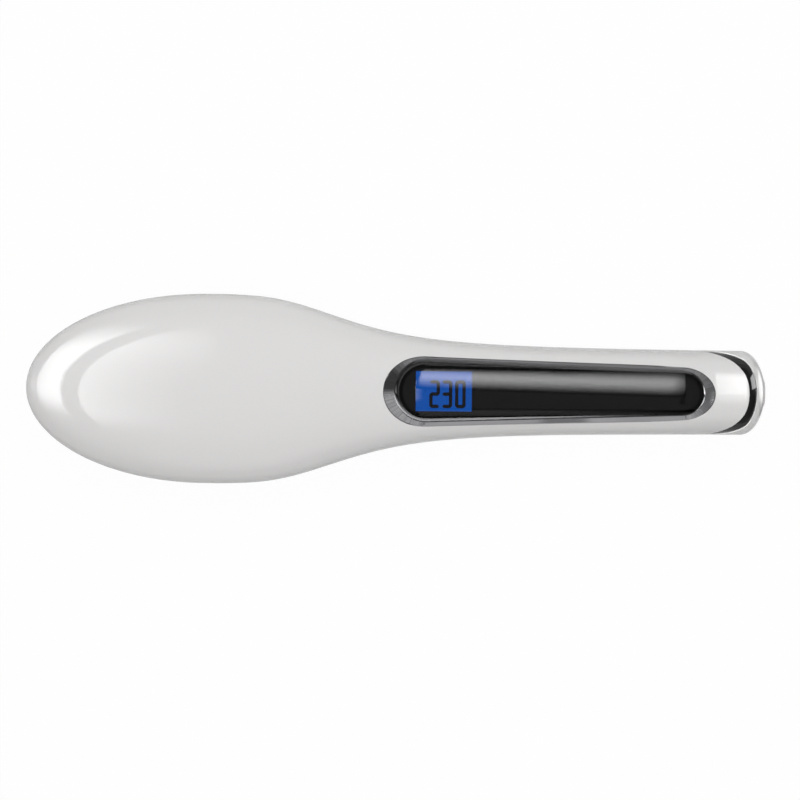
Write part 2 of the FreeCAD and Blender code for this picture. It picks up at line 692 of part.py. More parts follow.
def heat_plate():
    """Cast plate that carries the teeth, with two posts for the clamp."""
    plate = oval(-PLATE_INSET, COVER_TOP, PLATE_TOP)
    plate = plate.fuse([post(x, y, COVER_TOP, MICA_TOP, CLAMP_POST_RADIUS) for x, y in clamp_places()])
    holes = [post(x, y, COVER_TOP, PLATE_TOP, SCREW_RADIUS + SCREW_HOLE_FIT) for x, y in HEAD_SCREWS]
    holes += [post(x, y, MICA_TOP - SMALL_SCREW_BITE, MICA_TOP, SMALL_SCREW_RADIUS + PILOT_FIT)
              for x, y in clamp_places()]
    return plate.cut(holes)


def ptc_heaters():
    """Two flat ceramic heaters on the plate."""
    strips = []
    for side in (-1, 1):
        middle = side * HEATER_SPACING / 2.0
        strips.append(block(COMB_X - HEATER_LENGTH / 2.0, COMB_X + HEATER_LENGTH / 2.0,
                            middle - HEATER_WIDTH / 2.0, middle + HEATER_WIDTH / 2.0,
                            PLATE_TOP, HEATER_TOP))
    return Part.Compound(strips)


def over_heaters(grow, low, high):
    """Flat piece that covers both heaters."""
    reach_x = HEATER_LENGTH / 2.0 + grow
    reach_y = (HEATER_SPACING + HEATER_WIDTH) / 2.0 + grow
    return block(COMB_X - reach_x, COMB_X + reach_x, -reach_y, reach_y, low, high)


def heater_clamp():
    """Spring steel plate that presses the heaters down, with an ear at each end."""
    plate = over_heaters(0.0, MICA_TOP, CLAMP_TOP)
    ear = CLAMP_POST_RADIUS
    ears = [post(x, y, MICA_TOP, CLAMP_TOP, ear) for x, y in clamp_places()]
    reach = clamp_places()[1][0]
    ears.append(block(2.0 * COMB_X - reach, reach, -ear, ear, MICA_TOP, CLAMP_TOP))
    holes = [post(x, y, MICA_TOP, CLAMP_TOP, SMALL_SCREW_RADIUS + SCREW_HOLE_FIT)
             for x, y in clamp_places()]
    return plate.fuse(ears).cut(holes)


def insulator_bushes():
    """Heat proof spacers between the plate and the bosses of the back shell."""
    bore = SCREW_RADIUS + SCREW_HOLE_FIT
    bushes = [post(x, y, PLATE_TOP, BUSH_TOP, bore + BUSH_WALL).cut(post(x, y, PLATE_TOP, BUSH_TOP, bore))
              for x, y in HEAD_SCREWS]
    return Part.Compound(bushes)


def probe(side, radius, length):
    """Round part that lies along the plate."""
    start = Vector(COMB_X + PROBE_X - length, side * PROBE_Y, PLATE_TOP + radius + PILOT_FIT)
    return Part.makeCylinder(radius, length, start, Vector(1, 0, 0))


def head_lead(y, lift, over, end, radius):
    """Lead from the end of the main board, through the neck, to a part of the heater."""
    straight = Vector(2.0 * LEAD_GAP, 0, 0)
    board = Vector(BOARD_START, y, (BOARD_TOP + BOARD_LOW) / 2.0)
    neck = [Vector(NECK_SCREW_X, y, (board.z + lift) / 2.0),
            Vector(NECK_SCREW_X - 2.0 * BOSS_RADIUS, y, lift)]
    return lead([board, board - straight] + neck + over + [end + straight, end], radius)


def heater_leads():
    """Leads to the two heaters, which pass over the fuse and the sensor."""
    wires = []
    lift = PLATE_TOP + 2.0 * FUSE_RADIUS + 2.0 * HEATER_LEAD_RADIUS
    for side in (-1, 1):
        y = side * LEAD_GAP
        end = Vector(COMB_X + HEATER_LENGTH / 2.0, side * HEATER_SPACING / 2.0,
                     PLATE_TOP + HEATER_THICKNESS / 2.0)
        over = [Vector(COMB_X + PROBE_X - FUSE_LENGTH, (y + end.y) / 2.0, lift)]
        wires.append(head_lead(y, lift, over, end, HEATER_LEAD_RADIUS))
    return Part.Compound(wires)


def probe_lead(side, probe_radius):
    """Lead to the fuse or the sensor."""
    end = Vector(COMB_X + PROBE_X, side * PROBE_Y, PLATE_TOP + probe_radius + PILOT_FIT)
    return head_lead(side * 2.0 * LEAD_GAP, end.z + LEAD_GAP / 2.0, [], end, SENSOR_LEAD_RADIUS)


def display_bezel():
    """Bright sloped surround of the window."""
    wall = bezel_cone(BEZEL_WALL, BEZEL_BACK_SLOPE)
    slope = wall.cut(bezel_cone(FIT, BEZEL_SLOPE)).common(body(-BEZEL_PROUD))
    skirt = WINDOW.prism(BEZEL_WALL, WINDOW_Z - BEZEL_SKIRT, WINDOW_Z)
    return slope.fuse(skirt.cut(WINDOW.prism(FIT, WINDOW_Z - BEZEL_SKIRT, WINDOW_Z)))


def display_window():
    """Clear domed window with a hollow underside."""
    window = WINDOW.prism(0.0, HOLDER_TOP, WINDOW_Z).fuse(WINDOW.dome(0.0, WINDOW_Z, WINDOW_CROWN))
    return window.cut(WINDOW.dome(-WINDOW_WALL, HOLDER_TOP, WINDOW_CROWN))


def lcd_block(reach_x, reach_y, low, high):
    """Box centred on the display."""
    return block(LCD_X - reach_x, LCD_X + reach_x, -reach_y, reach_y, low, high)


def lcd_holder():
    """Black mask under the window, which also carries the display and the main board."""
    rim_top = WINDOW_Z - BEZEL_SKIRT
    holder = WINDOW.prism(-FIT, HOLDER_LOW, HOLDER_TOP)
    holder = holder.fuse(WINDOW.prism(HOLDER_RIM, HOLDER_LOW, rim_top))
    spacers = [post(x, y, BOARD_TOP, HOLDER_LOW, SMALL_SCREW_RADIUS + SMALL_BOSS_WALL)
               for x, y in BOARD_SCREWS]
    holder = holder.fuse(spacers)
    cuts = [lcd_block(LCD_LENGTH / 2.0, LCD_HEIGHT / 2.0, HOLDER_LOW, HOLDER_TOP),
            lcd_block(LCD_GLASS_X + FIT, LCD_GLASS_Y + FIT, HOLDER_LOW, LCD_TOP)]
    cuts += [post(x, y, BOARD_TOP, BOARD_TOP + SMALL_SCREW_BITE, SMALL_SCREW_RADIUS + PILOT_FIT)
             for x, y in BOARD_SCREWS]
    return holder.cut(cuts)


def lcd_backlight():
    """Light guide under the display glass."""
    return lcd_block(LCD_LENGTH / 2.0, LCD_GLASS_Y - STRIP_WIDTH - 2.0 * FIT, BOARD_TOP, LCD_LOW)


def contact_strips():
    """Rubber strips that join the display glass to the board."""
    strips = []
    for side in (-1, 1):
        edges = sorted((side * (LCD_GLASS_Y - STRIP_WIDTH - FIT), side * (LCD_GLASS_Y - FIT)))
        strips.append(block(LCD_X - LCD_LENGTH / 2.0, LCD_X + LCD_LENGTH / 2.0, *edges, BOARD_TOP, LCD_LOW))
    return Part.Compound(strips)


def main_board():
    """Circuit board under the display."""
    reach = BOARD_WIDTH / 2.0
    board = block(BOARD_START, BOARD_END, -reach, reach, BOARD_LOW, BOARD_TOP)
    hole = SMALL_SCREW_RADIUS + SCREW_HOLE_FIT
    return board.cut([post(x, y, BOARD_LOW, BOARD_TOP, hole) for x, y in BOARD_SCREWS])


def power_capacitor():
    """Round capacitor that lies under the board."""
    end = TERMINAL_X - PART_SPACING - TRIAC_LENGTH - PART_SPACING
    centre = BOARD_LOW - CAPACITOR_RADIUS - PILOT_FIT
    start = Vector(end - CAPACITOR_LENGTH, 0, centre)
    return Part.makeCylinder(CAPACITOR_RADIUS, CAPACITOR_LENGTH, start, Vector(1, 0, 0))


def power_triac():
    """Power switch that stands down from the board."""
    end = TERMINAL_X - PART_SPACING
    reach = TRIAC_THICKNESS / 2.0
    return block(end - TRIAC_LENGTH, end, -reach, reach, BOARD_LOW - TRIAC_HEIGHT, BOARD_LOW)


def terminal_block():
    """Block where the supply leads reach the board."""
    reach = TERMINAL_WIDTH / 2.0
    return block(TERMINAL_X, BOARD_END, -reach, reach, BOARD_LOW - TERMINAL_HEIGHT, BOARD_LOW)


def button_panel():
    """Black inlay that follows the belly of the handle, with a hole for each button."""
    skin = layer(PANEL_RECESS, PANEL_RECESS + PANEL_THICKNESS)
    panel = skin.common(PANEL.prism(0.0, -FAR, FLOOR_TOP))
    return panel.cut([post(x, 0.0, -FAR, FLOOR_TOP, BUTTON_RADIUS + RUNNING_FIT) for x in BUTTON_X])


def button(x):
    """Push button: a cap that follows the belly, a flange inside the floor and a stem."""
    cap = post(x, 0.0, -FAR, STEM_LOW, BUTTON_RADIUS).common(body(-BUTTON_PROUD))
    flange = post(x, 0.0, FLANGE_LOW, STEM_LOW, BUTTON_RADIUS + BUTTON_LIP)
    return cap.fuse([flange, post(x, 0.0, STEM_LOW, STEM_TOP, STEM_RADIUS)])


def plunger(x):
    """Pin of the switch behind a button."""
    return post(x, 0.0, STEM_TOP, KEY_LOW + PLUNGER_SINK, PLUNGER_RADIUS)


def key_switches():
    """Switch bodies under the key board, each with room for its plunger."""
    reach = KEY_SIZE / 2.0
    room = KEY_LOW + PLUNGER_SINK + BUTTON_TRAVEL + RUNNING_FIT
    keys = [block(x - reach, x + reach, -reach, reach, KEY_LOW, KEY_TOP)
            .cut(post(x, 0.0, KEY_LOW, room, PLUNGER_RADIUS + RUNNING_FIT)) for x in BUTTON_X]
    return Part.Compound(keys)


def key_board():
    """Small circuit board behind the buttons."""
    reach = KEY_BOARD_WIDTH / 2.0
    start = KEY_SCREWS[0][0] - KEY_BOARD_END
    end = KEY_SCREWS[1][0] + KEY_BOARD_END
    board = block(start, end, -reach, reach, KEY_TOP, KEY_TOP + KEY_BOARD_THICKNESS)
    hole = SMALL_SCREW_RADIUS + SCREW_HOLE_FIT
    return board.cut([post(x, y, KEY_TOP, KEY_TOP + KEY_BOARD_THICKNESS, hole) for x, y in KEY_SCREWS])


def tail_trim():
    """Gloss band across the tail, with the sleeve that joins the shells and the cap."""
    band = layer(TRIM_RECESS, SLEEVE_INSIDE)
    band = band.common(tailward(TRIM_START + SEAM)).cut(tailward(TRIM_END - SEAM))
    sleeve = layer(SLEEVE_OUTSIDE, SLEEVE_INSIDE).common(tailward(TRIM_START - SLEEVE_REACH))
    beyond = block(BEARING_X - RUNNING_FIT, FAR, -FAR, FAR, -FAR, FAR)
    sleeve = sleeve.cut([tailward(TRIM_END + SLEEVE_REACH), beyond])
    return band.fuse(sleeve)


def tail_cap():
    """Rounded end of the handle, with the bearing for the cord inlet."""
    cap = layer(0.0, WALL).common(tailward(TRIM_END))
    bore = NOSE_RADIUS + RUNNING_FIT
    bearing = bar(BEARING_X, LENGTH / 2.0, bore + BEARING_WALL).common(body(0.0))
    return cap.fuse(bearing).cut(bar(BEARING_X, LENGTH / 2.0, bore))


def cord_swivel():
    """Turning cord inlet: nose with the cord bore, collar behind the bearing, spindle and pin."""
    end = LENGTH / 2.0
    collar_x = BEARING_X - RUNNING_FIT
    nose = bar(collar_x, end - NOSE_TAPER, NOSE_RADIUS)
    taper_start = Vector(end - NOSE_TAPER, 0, TAIL_AXIS)
    pieces = [Part.makeCone(NOSE_RADIUS, NOSE_END_RADIUS, NOSE_TAPER, taper_start, Vector(1, 0, 0)),
              bar(collar_x - COLLAR_THICKNESS, collar_x, COLLAR_RADIUS),
              bar(SPINDLE_X, collar_x, SPINDLE_RADIUS),
              bar(SPINDLE_X - PIN_LENGTH, SPINDLE_X, PIN_RADIUS)]
    return nose.fuse(pieces).cut(bar(end - CORD_DEPTH, end, CORD_RADIUS))


def ring_places():
    """X of the middle of each slip ring on the spindle."""
    middle = SPINDLE_X + SPINDLE_LENGTH / 2.0
    return [middle - RING_PITCH / 2.0, middle + RING_PITCH / 2.0]


def slip_rings():
    """Two contact rings on the spindle."""
    half = RING_WIDTH / 2.0
    bore = SPINDLE_RADIUS + PILOT_FIT
    rings = [bar(x - half, x + half, SPINDLE_RADIUS + RING_WALL).cut(bar(x - half, x + half, bore))
             for x in ring_places()]
    return Part.Compound(rings)


def contact_springs():
    """Leaf springs on the carrier, one beside each slip ring."""
    springs = []
    near = SPINDLE_RADIUS + RING_WALL + RUNNING_FIT
    for side, x in zip((-1, 1), ring_places()):
        edges = sorted((side * near, side * (near + SPRING_THICKNESS)))
        springs.append(block(CARRIER_X + CARRIER_THICKNESS, x + RING_WIDTH, *edges,
                             TAIL_AXIS - SPRING_WIDTH / 2.0, TAIL_AXIS + SPRING_WIDTH / 2.0))
    return Part.Compound(springs)


def contact_carrier():
    """Plate in the tail that holds the springs and the pin of the spindle."""
    end = CARRIER_X + CARRIER_THICKNESS
    plate = block(CARRIER_X, end, -FAR, FAR, -FAR, TAIL_AXIS + CARRIER_RISE)
    plate = plate.common(body(SLEEVE_INSIDE + FIT))
    return plate.cut(bar(CARRIER_X, end, PIN_RADIUS + RUNNING_FIT))


def supply_leads():
    """Leads from the carrier to the terminal block."""
    wires = []
    gap = CARRIER_X - BOARD_END
    outer = SPINDLE_RADIUS + RING_WALL + RUNNING_FIT
    for side in (-1, 1):
        start = Vector(CARRIER_X, side * outer, TAIL_AXIS)
        end = Vector(BOARD_END, side * TERMINAL_WIDTH / 4.0, BOARD_LOW - TERMINAL_HEIGHT / 2.0)
        route = [start, start - Vector(gap / 3.0, 0, 0), end + Vector(gap / 3.0, 0, 0), end]
        wires.append(lead(route, SUPPLY_LEAD_RADIUS))
    return Part.Compound(wires)


def pieces():
    """Every piece of the brush by name."""
    board_screw_length = BOARD_THICKNESS + SMALL_SCREW_BITE
    key_screw_length = KEY_BOARD_THICKNESS + SMALL_SCREW_BITE
    clamp_screw_length = CLAMP_THICKNESS + SMALL_SCREW_BITE
    return {
        "back_shell": back_shell(),
        "front_shell": front_shell(),
        "tail_trim": tail_trim(),
        "tail_cap": tail_cap(),
        "head_screws": casing_screws(HEAD_SCREWS, HEAD_SCREW_SEAT, head_screw_length()),
        "neck_screws": casing_screws(NECK_SCREWS, neck_seat(), neck_screw_length()),
        "comb_cover": comb_cover(),
        "heated_teeth": heated_teeth(),
        "tooth_tips": tooth_tips(),
        "guard_bristles": guard_bristles(),
        "heat_plate": heat_plate(),
        "ptc_heaters": ptc_heaters(),
        "mica_sheet": over_heaters(MICA_RIM, HEATER_TOP, MICA_TOP),
        "heater_clamp": heater_clamp(),
        "clamp_screws": small_screws(clamp_places(), CLAMP_TOP, False, clamp_screw_length),
        "insulator_bushes": insulator_bushes(),
        "thermal_fuse": probe(1, FUSE_RADIUS, FUSE_LENGTH),
        "temperature_sensor": probe(-1, SENSOR_RADIUS, SENSOR_LENGTH),
        "heater_leads": heater_leads(),
        "fuse_lead": probe_lead(1, FUSE_RADIUS),
        "sensor_lead": probe_lead(-1, SENSOR_RADIUS),
        "display_bezel": display_bezel(),
        "display_window": display_window(),
        "lcd_holder": lcd_holder(),
        "lcd_panel": lcd_block(LCD_GLASS_X, LCD_GLASS_Y, LCD_LOW, LCD_TOP),
        "lcd_backlight": lcd_backlight(),
        "contact_strips": contact_strips(),
        "main_board": main_board(),
        "board_screws": small_screws(BOARD_SCREWS, BOARD_LOW, True, board_screw_length),
        "power_capacitor": power_capacitor(),
        "power_triac": power_triac(),
        "terminal_block": terminal_block(),
        "button_panel": button_panel(),
        "plus_button": button(BUTTON_X[0]),
        "minus_button": button(BUTTON_X[1]),
        "power_button": button(BUTTON_X[2]),
        "plus_plunger": plunger(BUTTON_X[0]),
        "minus_plunger": plunger(BUTTON_X[1]),
        "power_plunger": plunger(BUTTON_X[2]),
        "key_switches": key_switches(),
        "key_board": key_board(),
        "key_screws": small_screws(KEY_SCREWS, KEY_TOP + KEY_BOARD_THICKNESS, False, key_screw_length),
        "cord_swivel": cord_swivel(),
        "slip_rings": slip_rings(),
        "contact_springs": contact_springs(),
        "contact_carrier": contact_carrier(),
        "supply_leads": supply_leads(),
    }


os.makedirs("parts", exist_ok=True)
for name, shape in pieces().items():
    shape.exportStep("parts/%s.step" % name)
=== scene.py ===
"""Looks of a hair straightening brush: finishes, display digits, button signs, screws, light and camera.

Metres throughout. X runs along the brush with the head at -X, Z up through its smooth back.
"""

import json
import logging
import math
from dataclasses import dataclass
from enum import Enum
from typing import Callable, ClassVar

import bpy
from mathutils import Matrix, Vector


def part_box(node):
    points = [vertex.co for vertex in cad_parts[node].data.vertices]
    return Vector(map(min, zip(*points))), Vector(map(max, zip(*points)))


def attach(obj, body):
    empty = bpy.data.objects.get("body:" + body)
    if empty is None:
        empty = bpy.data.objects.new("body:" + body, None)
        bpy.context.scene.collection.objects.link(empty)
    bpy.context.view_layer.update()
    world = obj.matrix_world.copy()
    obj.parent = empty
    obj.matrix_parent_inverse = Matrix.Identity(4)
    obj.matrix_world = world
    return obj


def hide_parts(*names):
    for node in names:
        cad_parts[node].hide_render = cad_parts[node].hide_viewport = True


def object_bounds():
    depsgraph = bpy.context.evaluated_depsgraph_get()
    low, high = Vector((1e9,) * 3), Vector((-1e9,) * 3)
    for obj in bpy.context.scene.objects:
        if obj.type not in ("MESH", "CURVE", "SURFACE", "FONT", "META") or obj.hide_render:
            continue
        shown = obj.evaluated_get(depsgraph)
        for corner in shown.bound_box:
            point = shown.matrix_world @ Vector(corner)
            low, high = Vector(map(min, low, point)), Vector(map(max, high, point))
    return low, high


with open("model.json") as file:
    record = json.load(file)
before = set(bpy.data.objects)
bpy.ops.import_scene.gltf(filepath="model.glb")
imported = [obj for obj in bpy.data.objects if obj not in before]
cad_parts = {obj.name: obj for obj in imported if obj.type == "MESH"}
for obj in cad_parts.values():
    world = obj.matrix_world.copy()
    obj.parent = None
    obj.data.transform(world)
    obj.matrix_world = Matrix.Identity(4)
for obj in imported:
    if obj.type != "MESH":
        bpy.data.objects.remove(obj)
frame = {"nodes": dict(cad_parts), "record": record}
CAD_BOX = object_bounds()

LOG = logging.getLogger("brush")
MM = 0.001

# Distance within which an edge counts as lying at a place
TOUCH = 0.01 * MM
# Least cosine between two directions that count as the same
ALIGNED = 0.9
# Corners of a round piece, and of a round panel of the studio
ROUND_CORNERS = 48
PANEL_CORNERS = 96
# Middle of a noise's values
NOISE_MIDDLE = 0.5
# Places of a mixing node's colour sockets
MIX_FIRST = 6
MIX_SECOND = 7
MIX_RESULT = 2
# Ray depth between a first and a second reflection
FIRST_REFLECTION = 1.5
WHITE = (1.0, 1.0, 1.0, 1.0)

Socket = bpy.types.NodeSocket
Node = bpy.types.Node
Thing = bpy.types.Object
Colour = tuple[float, float, float]
Place = tuple[float, float, float]
Pair = tuple[float, float]
Four = tuple[float, float, float, float]
Stops = tuple[Pair, ...]

# Fade of a panel whose edges are sharp
SHARP: Four = (0.01, 0.01, 0.01, 0.01)


class Group(Enum):
    """Shader node groups that several finishes share."""

    MOULDED_SKIN = "moulded_skin"
    PEARL_LUSTRE = "pearl_lustre"
    DRAWN_METAL = "drawn_metal"


class ShaderBench:
    """A node tree with short ways to add and join nodes."""

    def __init__(self, tree: bpy.types.NodeTree) -> None:
        """Keep the tree.

        Args:
            tree: The tree that the nodes go into.
        """
        self.tree = tree

    @classmethod
    def for_stage(cls, piece: Thing, name: str) -> "ShaderBench":
        """Give a stage object an empty material.

        Args:
            piece: The object.
            name: Name of the material.

        Returns:
            The bench for the material's nodes.
        """
        material = bpy.data.materials.new(name)
        material.use_nodes = True
        material.node_tree.nodes.clear()
        piece.data.materials.append(material)
        return cls(material.node_tree)

    def add(self, kind: str, inputs: dict[str, object] | None = None, **settings: object) -> Node:
        """Add one node.

        Args:
            kind: Type of the node.
            inputs: Values for the node's sockets, by socket name.
            settings: Values for the node's own properties.

        Returns:
            The new node.
        """
        node = self.tree.nodes.new(kind)
        for name, value in settings.items():
            setattr(node, name, value)
        for name, value in (inputs or {}).items():
            node.inputs[name].default_value = value
        return node

    def join(self, source: Socket, target: Socket) -> None:
        """Link two sockets."""
        self.tree.links.new(source, target)

    def wire(self, source: Node, target: Node, pairs: dict[str, str]) -> None:
        """Link outputs of one node to inputs of another, by their names."""
        for output, given in pairs.items():
            self.join(source.outputs[output], target.inputs[given])

    def feed(self, value: object, socket: Socket) -> None:
        """Link or set a socket.

        Args:
            value: A socket, a number, a vector or a colour of three numbers.
            socket: What gets it.
        """
        if isinstance(value, Socket):
            self.join(value, socket)
        elif socket.type == "RGBA":
            socket.default_value = (*value, 1.0)
        else:
            socket.default_value = value

    def place(self) -> Socket:
        """Coordinates of the object itself."""
        return self.add("ShaderNodeTexCoord").outputs["Object"]

    def split(self, vector: Socket) -> tuple[Socket, Socket]:
        """Take X and Y of a vector.

        Args:
            vector: The socket with the vector.

        Returns:
            The sockets with X and Y.
        """
        node = self.add("ShaderNodeSeparateXYZ")
        self.join(vector, node.inputs[0])
        return node.outputs["X"], node.outputs["Y"]

    def math(self, operation: str, first: object, second: object = 0.0) -> Socket:
        """Add a Math node.

        Args:
            operation: The node's operation.
            first: A socket or a number.
            second: A socket or a number.

        Returns:
            The node's output socket.
        """
        node = self.add("ShaderNodeMath", operation=operation)
        for socket, value in zip(node.inputs, (first, second)):
            self.feed(value, socket)
        return node.outputs[0]

    def rise(self, value: Socket, start: float, full: float) -> Socket:
        """Smooth step from nought to one.

        Args:
            value: What decides it.
            start: Value at which it is nought.
            full: Value at which it is one.

        Returns:
            The socket with the share.
        """
        node = self.add("ShaderNodeMapRange", {"From Min": start, "From Max": full},
                        interpolation_type="SMOOTHSTEP")
        self.join(value, node.inputs["Value"])
        return node.outputs[0]

    def ramp(self, value: Socket, stops: Stops) -> Socket:
        """Level that runs straight from stop to stop.

        Args:
            value: What decides it, between the first and the last stop.
            stops: Values in rising order, each with its level.

        Returns:
            The socket with the level.
        """
        first, last = stops[0][0], stops[-1][0]
        share = self.add("ShaderNodeMapRange", {"From Min": first, "From Max": last})
        self.join(value, share.inputs["Value"])
        ramp = self.add("ShaderNodeValToRGB")
        self.join(share.outputs[0], ramp.inputs["Fac"])
        marks = ramp.color_ramp.elements
        for _ in stops[2:]:
            marks.new(0.5)
        for mark, (place, level) in zip(marks, stops):
            mark.position = (place - first) / (last - first)
            mark.color = (level, level, level, 1.0)
        return ramp.outputs["Color"]

    def noise(self, place: Socket, size: object, detail: float = 2.0) -> Socket:
        """Add a noise whose features have a given size.

        Args:
            place: Coordinates, in metres.
            size: Size of the features in metres, a socket or a number.
            detail: Octaves of finer noise.

        Returns:
            The socket with values round 0.5.
        """
        node = self.add("ShaderNodeTexNoise", {"Detail": detail})
        self.join(place, node.inputs["Vector"])
        if isinstance(size, Socket):
            self.join(self.math("DIVIDE", 1.0, size), node.inputs["Scale"])
        else:
            node.inputs["Scale"].default_value = 1.0 / size
        return node.outputs["Fac"]

    def blend(self, share: Socket, first: object, second: object) -> Socket:
        """Mix two colours.

        Args:
            share: How much of the second colour.
            first: A socket or a colour.
            second: A socket or a colour.

        Returns:
            The socket with the mixed colour.
        """
        node = self.add("ShaderNodeMix", data_type="RGBA")
        self.join(share, node.inputs["Factor"])
        self.feed(first, node.inputs[MIX_FIRST])
        self.feed(second, node.inputs[MIX_SECOND])
        return node.outputs[MIX_RESULT]


class SurfaceGroups:
    """Builds each shared node group once."""

    smudge_share: float = 0.4
    smudge_detail: float = 4.0
    grain_detail: float = 3.0
    line_detail: float = 4.0

    def __init__(self) -> None:
        """Build all groups."""
        self.trees = {
            Group.MOULDED_SKIN: self._moulded_skin(),
            Group.PEARL_LUSTRE: self._pearl_lustre(),
            Group.DRAWN_METAL: self._drawn_metal(),
        }

    @staticmethod
    def _start(group: Group, inputs: dict[str, str],
               outputs: dict[str, str]) -> tuple[ShaderBench, Node, Node]:
        """Make an empty group with its sockets.

        Args:
            group: Which group it is.
            inputs: Socket names and kinds of the inputs.
            outputs: Socket names and kinds of the outputs.

        Returns:
            The bench, the group's input node and its output node.
        """
        tree = bpy.data.node_groups.new(group.value, "ShaderNodeTree")
        for way, sockets in (("INPUT", inputs), ("OUTPUT", outputs)):
            for name, kind in sockets.items():
                tree.interface.new_socket(name, in_out=way, socket_type="NodeSocket" + kind)
        bench = ShaderBench(tree)
        return bench, bench.add("NodeGroupInput"), bench.add("NodeGroupOutput")

    def _moulded_skin(self) -> bpy.types.NodeTree:
        """Moulded plastic: cloudy tone, uneven gloss and a fine grain.

        Returns:
            The group.
        """
        bench, given, made = self._start(
            Group.MOULDED_SKIN,
            {"Colour": "Color", "Shade": "Color", "Gloss": "Float", "Gloss Spread": "Float",
             "Patch Size": "Float", "Grain Size": "Float"},
            {"Colour": "Color", "Roughness": "Float", "Height": "Float"})
        place = bench.place()
        patches = bench.noise(place, given.outputs["Patch Size"])
        tone = bench.blend(patches, given.outputs["Colour"], given.outputs["Shade"])
        bench.join(tone, made.inputs["Colour"])
        smudge_size = bench.math("MULTIPLY", given.outputs["Patch Size"], self.smudge_share)
        self._uneven_gloss(bench, bench.noise(place, smudge_size, self.smudge_detail), given, made)
        bench.join(bench.noise(place, given.outputs["Grain Size"], self.grain_detail), made.inputs["Height"])
        return bench.tree

    @staticmethod
    def _uneven_gloss(bench: ShaderBench, noise: Socket, given: Node, made: Node) -> None:
        """Spread a group's roughness round its gloss value.

        Args:
            bench: The bench of the group.
            noise: What the spread follows.
            given: The group's input node.
            made: The group's output node.
        """
        sway = bench.math("SUBTRACT", noise, NOISE_MIDDLE)
        spread = bench.math("MULTIPLY", sway, given.outputs["Gloss Spread"])
        bench.join(bench.math("ADD", given.outputs["Gloss"], spread), made.inputs["Roughness"])

    def _pearl_lustre(self) -> bpy.types.NodeTree:
        """Pearl lacquer: tiny flakes that differ in tone, over a cloudy ground.

        Returns:
            The group.
        """
        bench, given, made = self._start(
            Group.PEARL_LUSTRE,
            {"Colour": "Color", "Flake": "Color", "Flake Size": "Float", "Patch Size": "Float"},
            {"Colour": "Color", "Height": "Float"})
        place = bench.place()
        flakes = bench.add("ShaderNodeTexVoronoi")
        bench.join(place, flakes.inputs["Vector"])
        bench.join(bench.math("DIVIDE", 1.0, given.outputs["Flake Size"]), flakes.inputs["Scale"])
        tone = bench.add("ShaderNodeSeparateColor")
        bench.join(flakes.outputs["Color"], tone.inputs["Color"])
        patches = bench.noise(place, given.outputs["Patch Size"])
        share = bench.math("DIVIDE", bench.math("ADD", tone.outputs["Red"], patches), 2.0)
        lustre = bench.blend(share, given.outputs["Colour"], given.outputs["Flake"])
        bench.join(lustre, made.inputs["Colour"])
        bench.join(tone.outputs["Green"], made.inputs["Height"])
        return bench.tree

    def _drawn_metal(self) -> bpy.types.NodeTree:
        """Metal with fine lines along one direction and uneven gloss.

        Returns:
            The group.
        """
        bench, given, made = self._start(
            Group.DRAWN_METAL,
            {"Colour": "Color", "Shade": "Color", "Gloss": "Float", "Gloss Spread": "Float",
             "Line Size": "Float", "Stretch": "Vector"},
            {"Colour": "Color", "Roughness": "Float", "Height": "Float"})
        place = bench.place()
        stretch = bench.add("ShaderNodeVectorMath", operation="MULTIPLY")
        bench.join(place, stretch.inputs[0])
        bench.join(given.outputs["Stretch"], stretch.inputs[1])
        lines = bench.noise(stretch.outputs[0], given.outputs["Line Size"], self.line_detail)
        tone = bench.blend(lines, given.outputs["Colour"], given.outputs["Shade"])
        bench.join(tone, made.inputs["Colour"])
        self._uneven_gloss(bench, lines, given, made)
        bench.join(lines, made.inputs["Height"])
        return bench.tree


GROUPS = SurfaceGroups()


@dataclass(frozen=True)
class Finish:
    """What every finish has: a name and a Principled shader."""

    name: str

    def start(self, fixed: dict[str, object]) -> tuple[bpy.types.Material, ShaderBench, Node]:
        """Make the material with its shader.

        Args:
            fixed: Values of the shader that are the same all over the surface.

        Returns:
            The material, the bench for its nodes and the shader node.
        """
        material = bpy.data.materials.new(self.name)
        material.use_nodes = True
        bench = ShaderBench(material.node_tree)
        shader = material.node_tree.nodes["Principled BSDF"]
        for name, value in fixed.items():
            shader.inputs[name].default_value = value
        return material, bench, shader

    def group(self, bench: ShaderBench, group: Group, values: dict[str, object]) -> Node:
        """Place a shared group in the material.

        Args:
            bench: The bench of the material.
            group: Which group.
            values: Its inputs. A colour has three numbers.

        Returns:
            The group node.
        """
        node = bench.add("ShaderNodeGroup", node_tree=GROUPS.trees[group])
        for name, value in values.items():
            bench.feed(value, node.inputs[name])
        return node

    def bump(self, bench: ShaderBench, shader: Node, height: Socket, depth: float) -> None:
        """Let a height in metres shape the shading normal.

        Args:
            bench: The bench of the material.
            shader: The shader whose normal is set.
            height: Values from 0 to 1.
            depth: Height of the bumps in metres.
        """
        bump = bench.add("ShaderNodeBump", {"Strength": 1.0, "Distance": depth})
        bench.join(height, bump.inputs["Height"])
        bench.join(bump.outputs["Normal"], shader.inputs["Normal"])

    def material(self) -> bpy.types.Material:
        """Build it, as each kind of finish does in its own way."""
        raise NotImplementedError


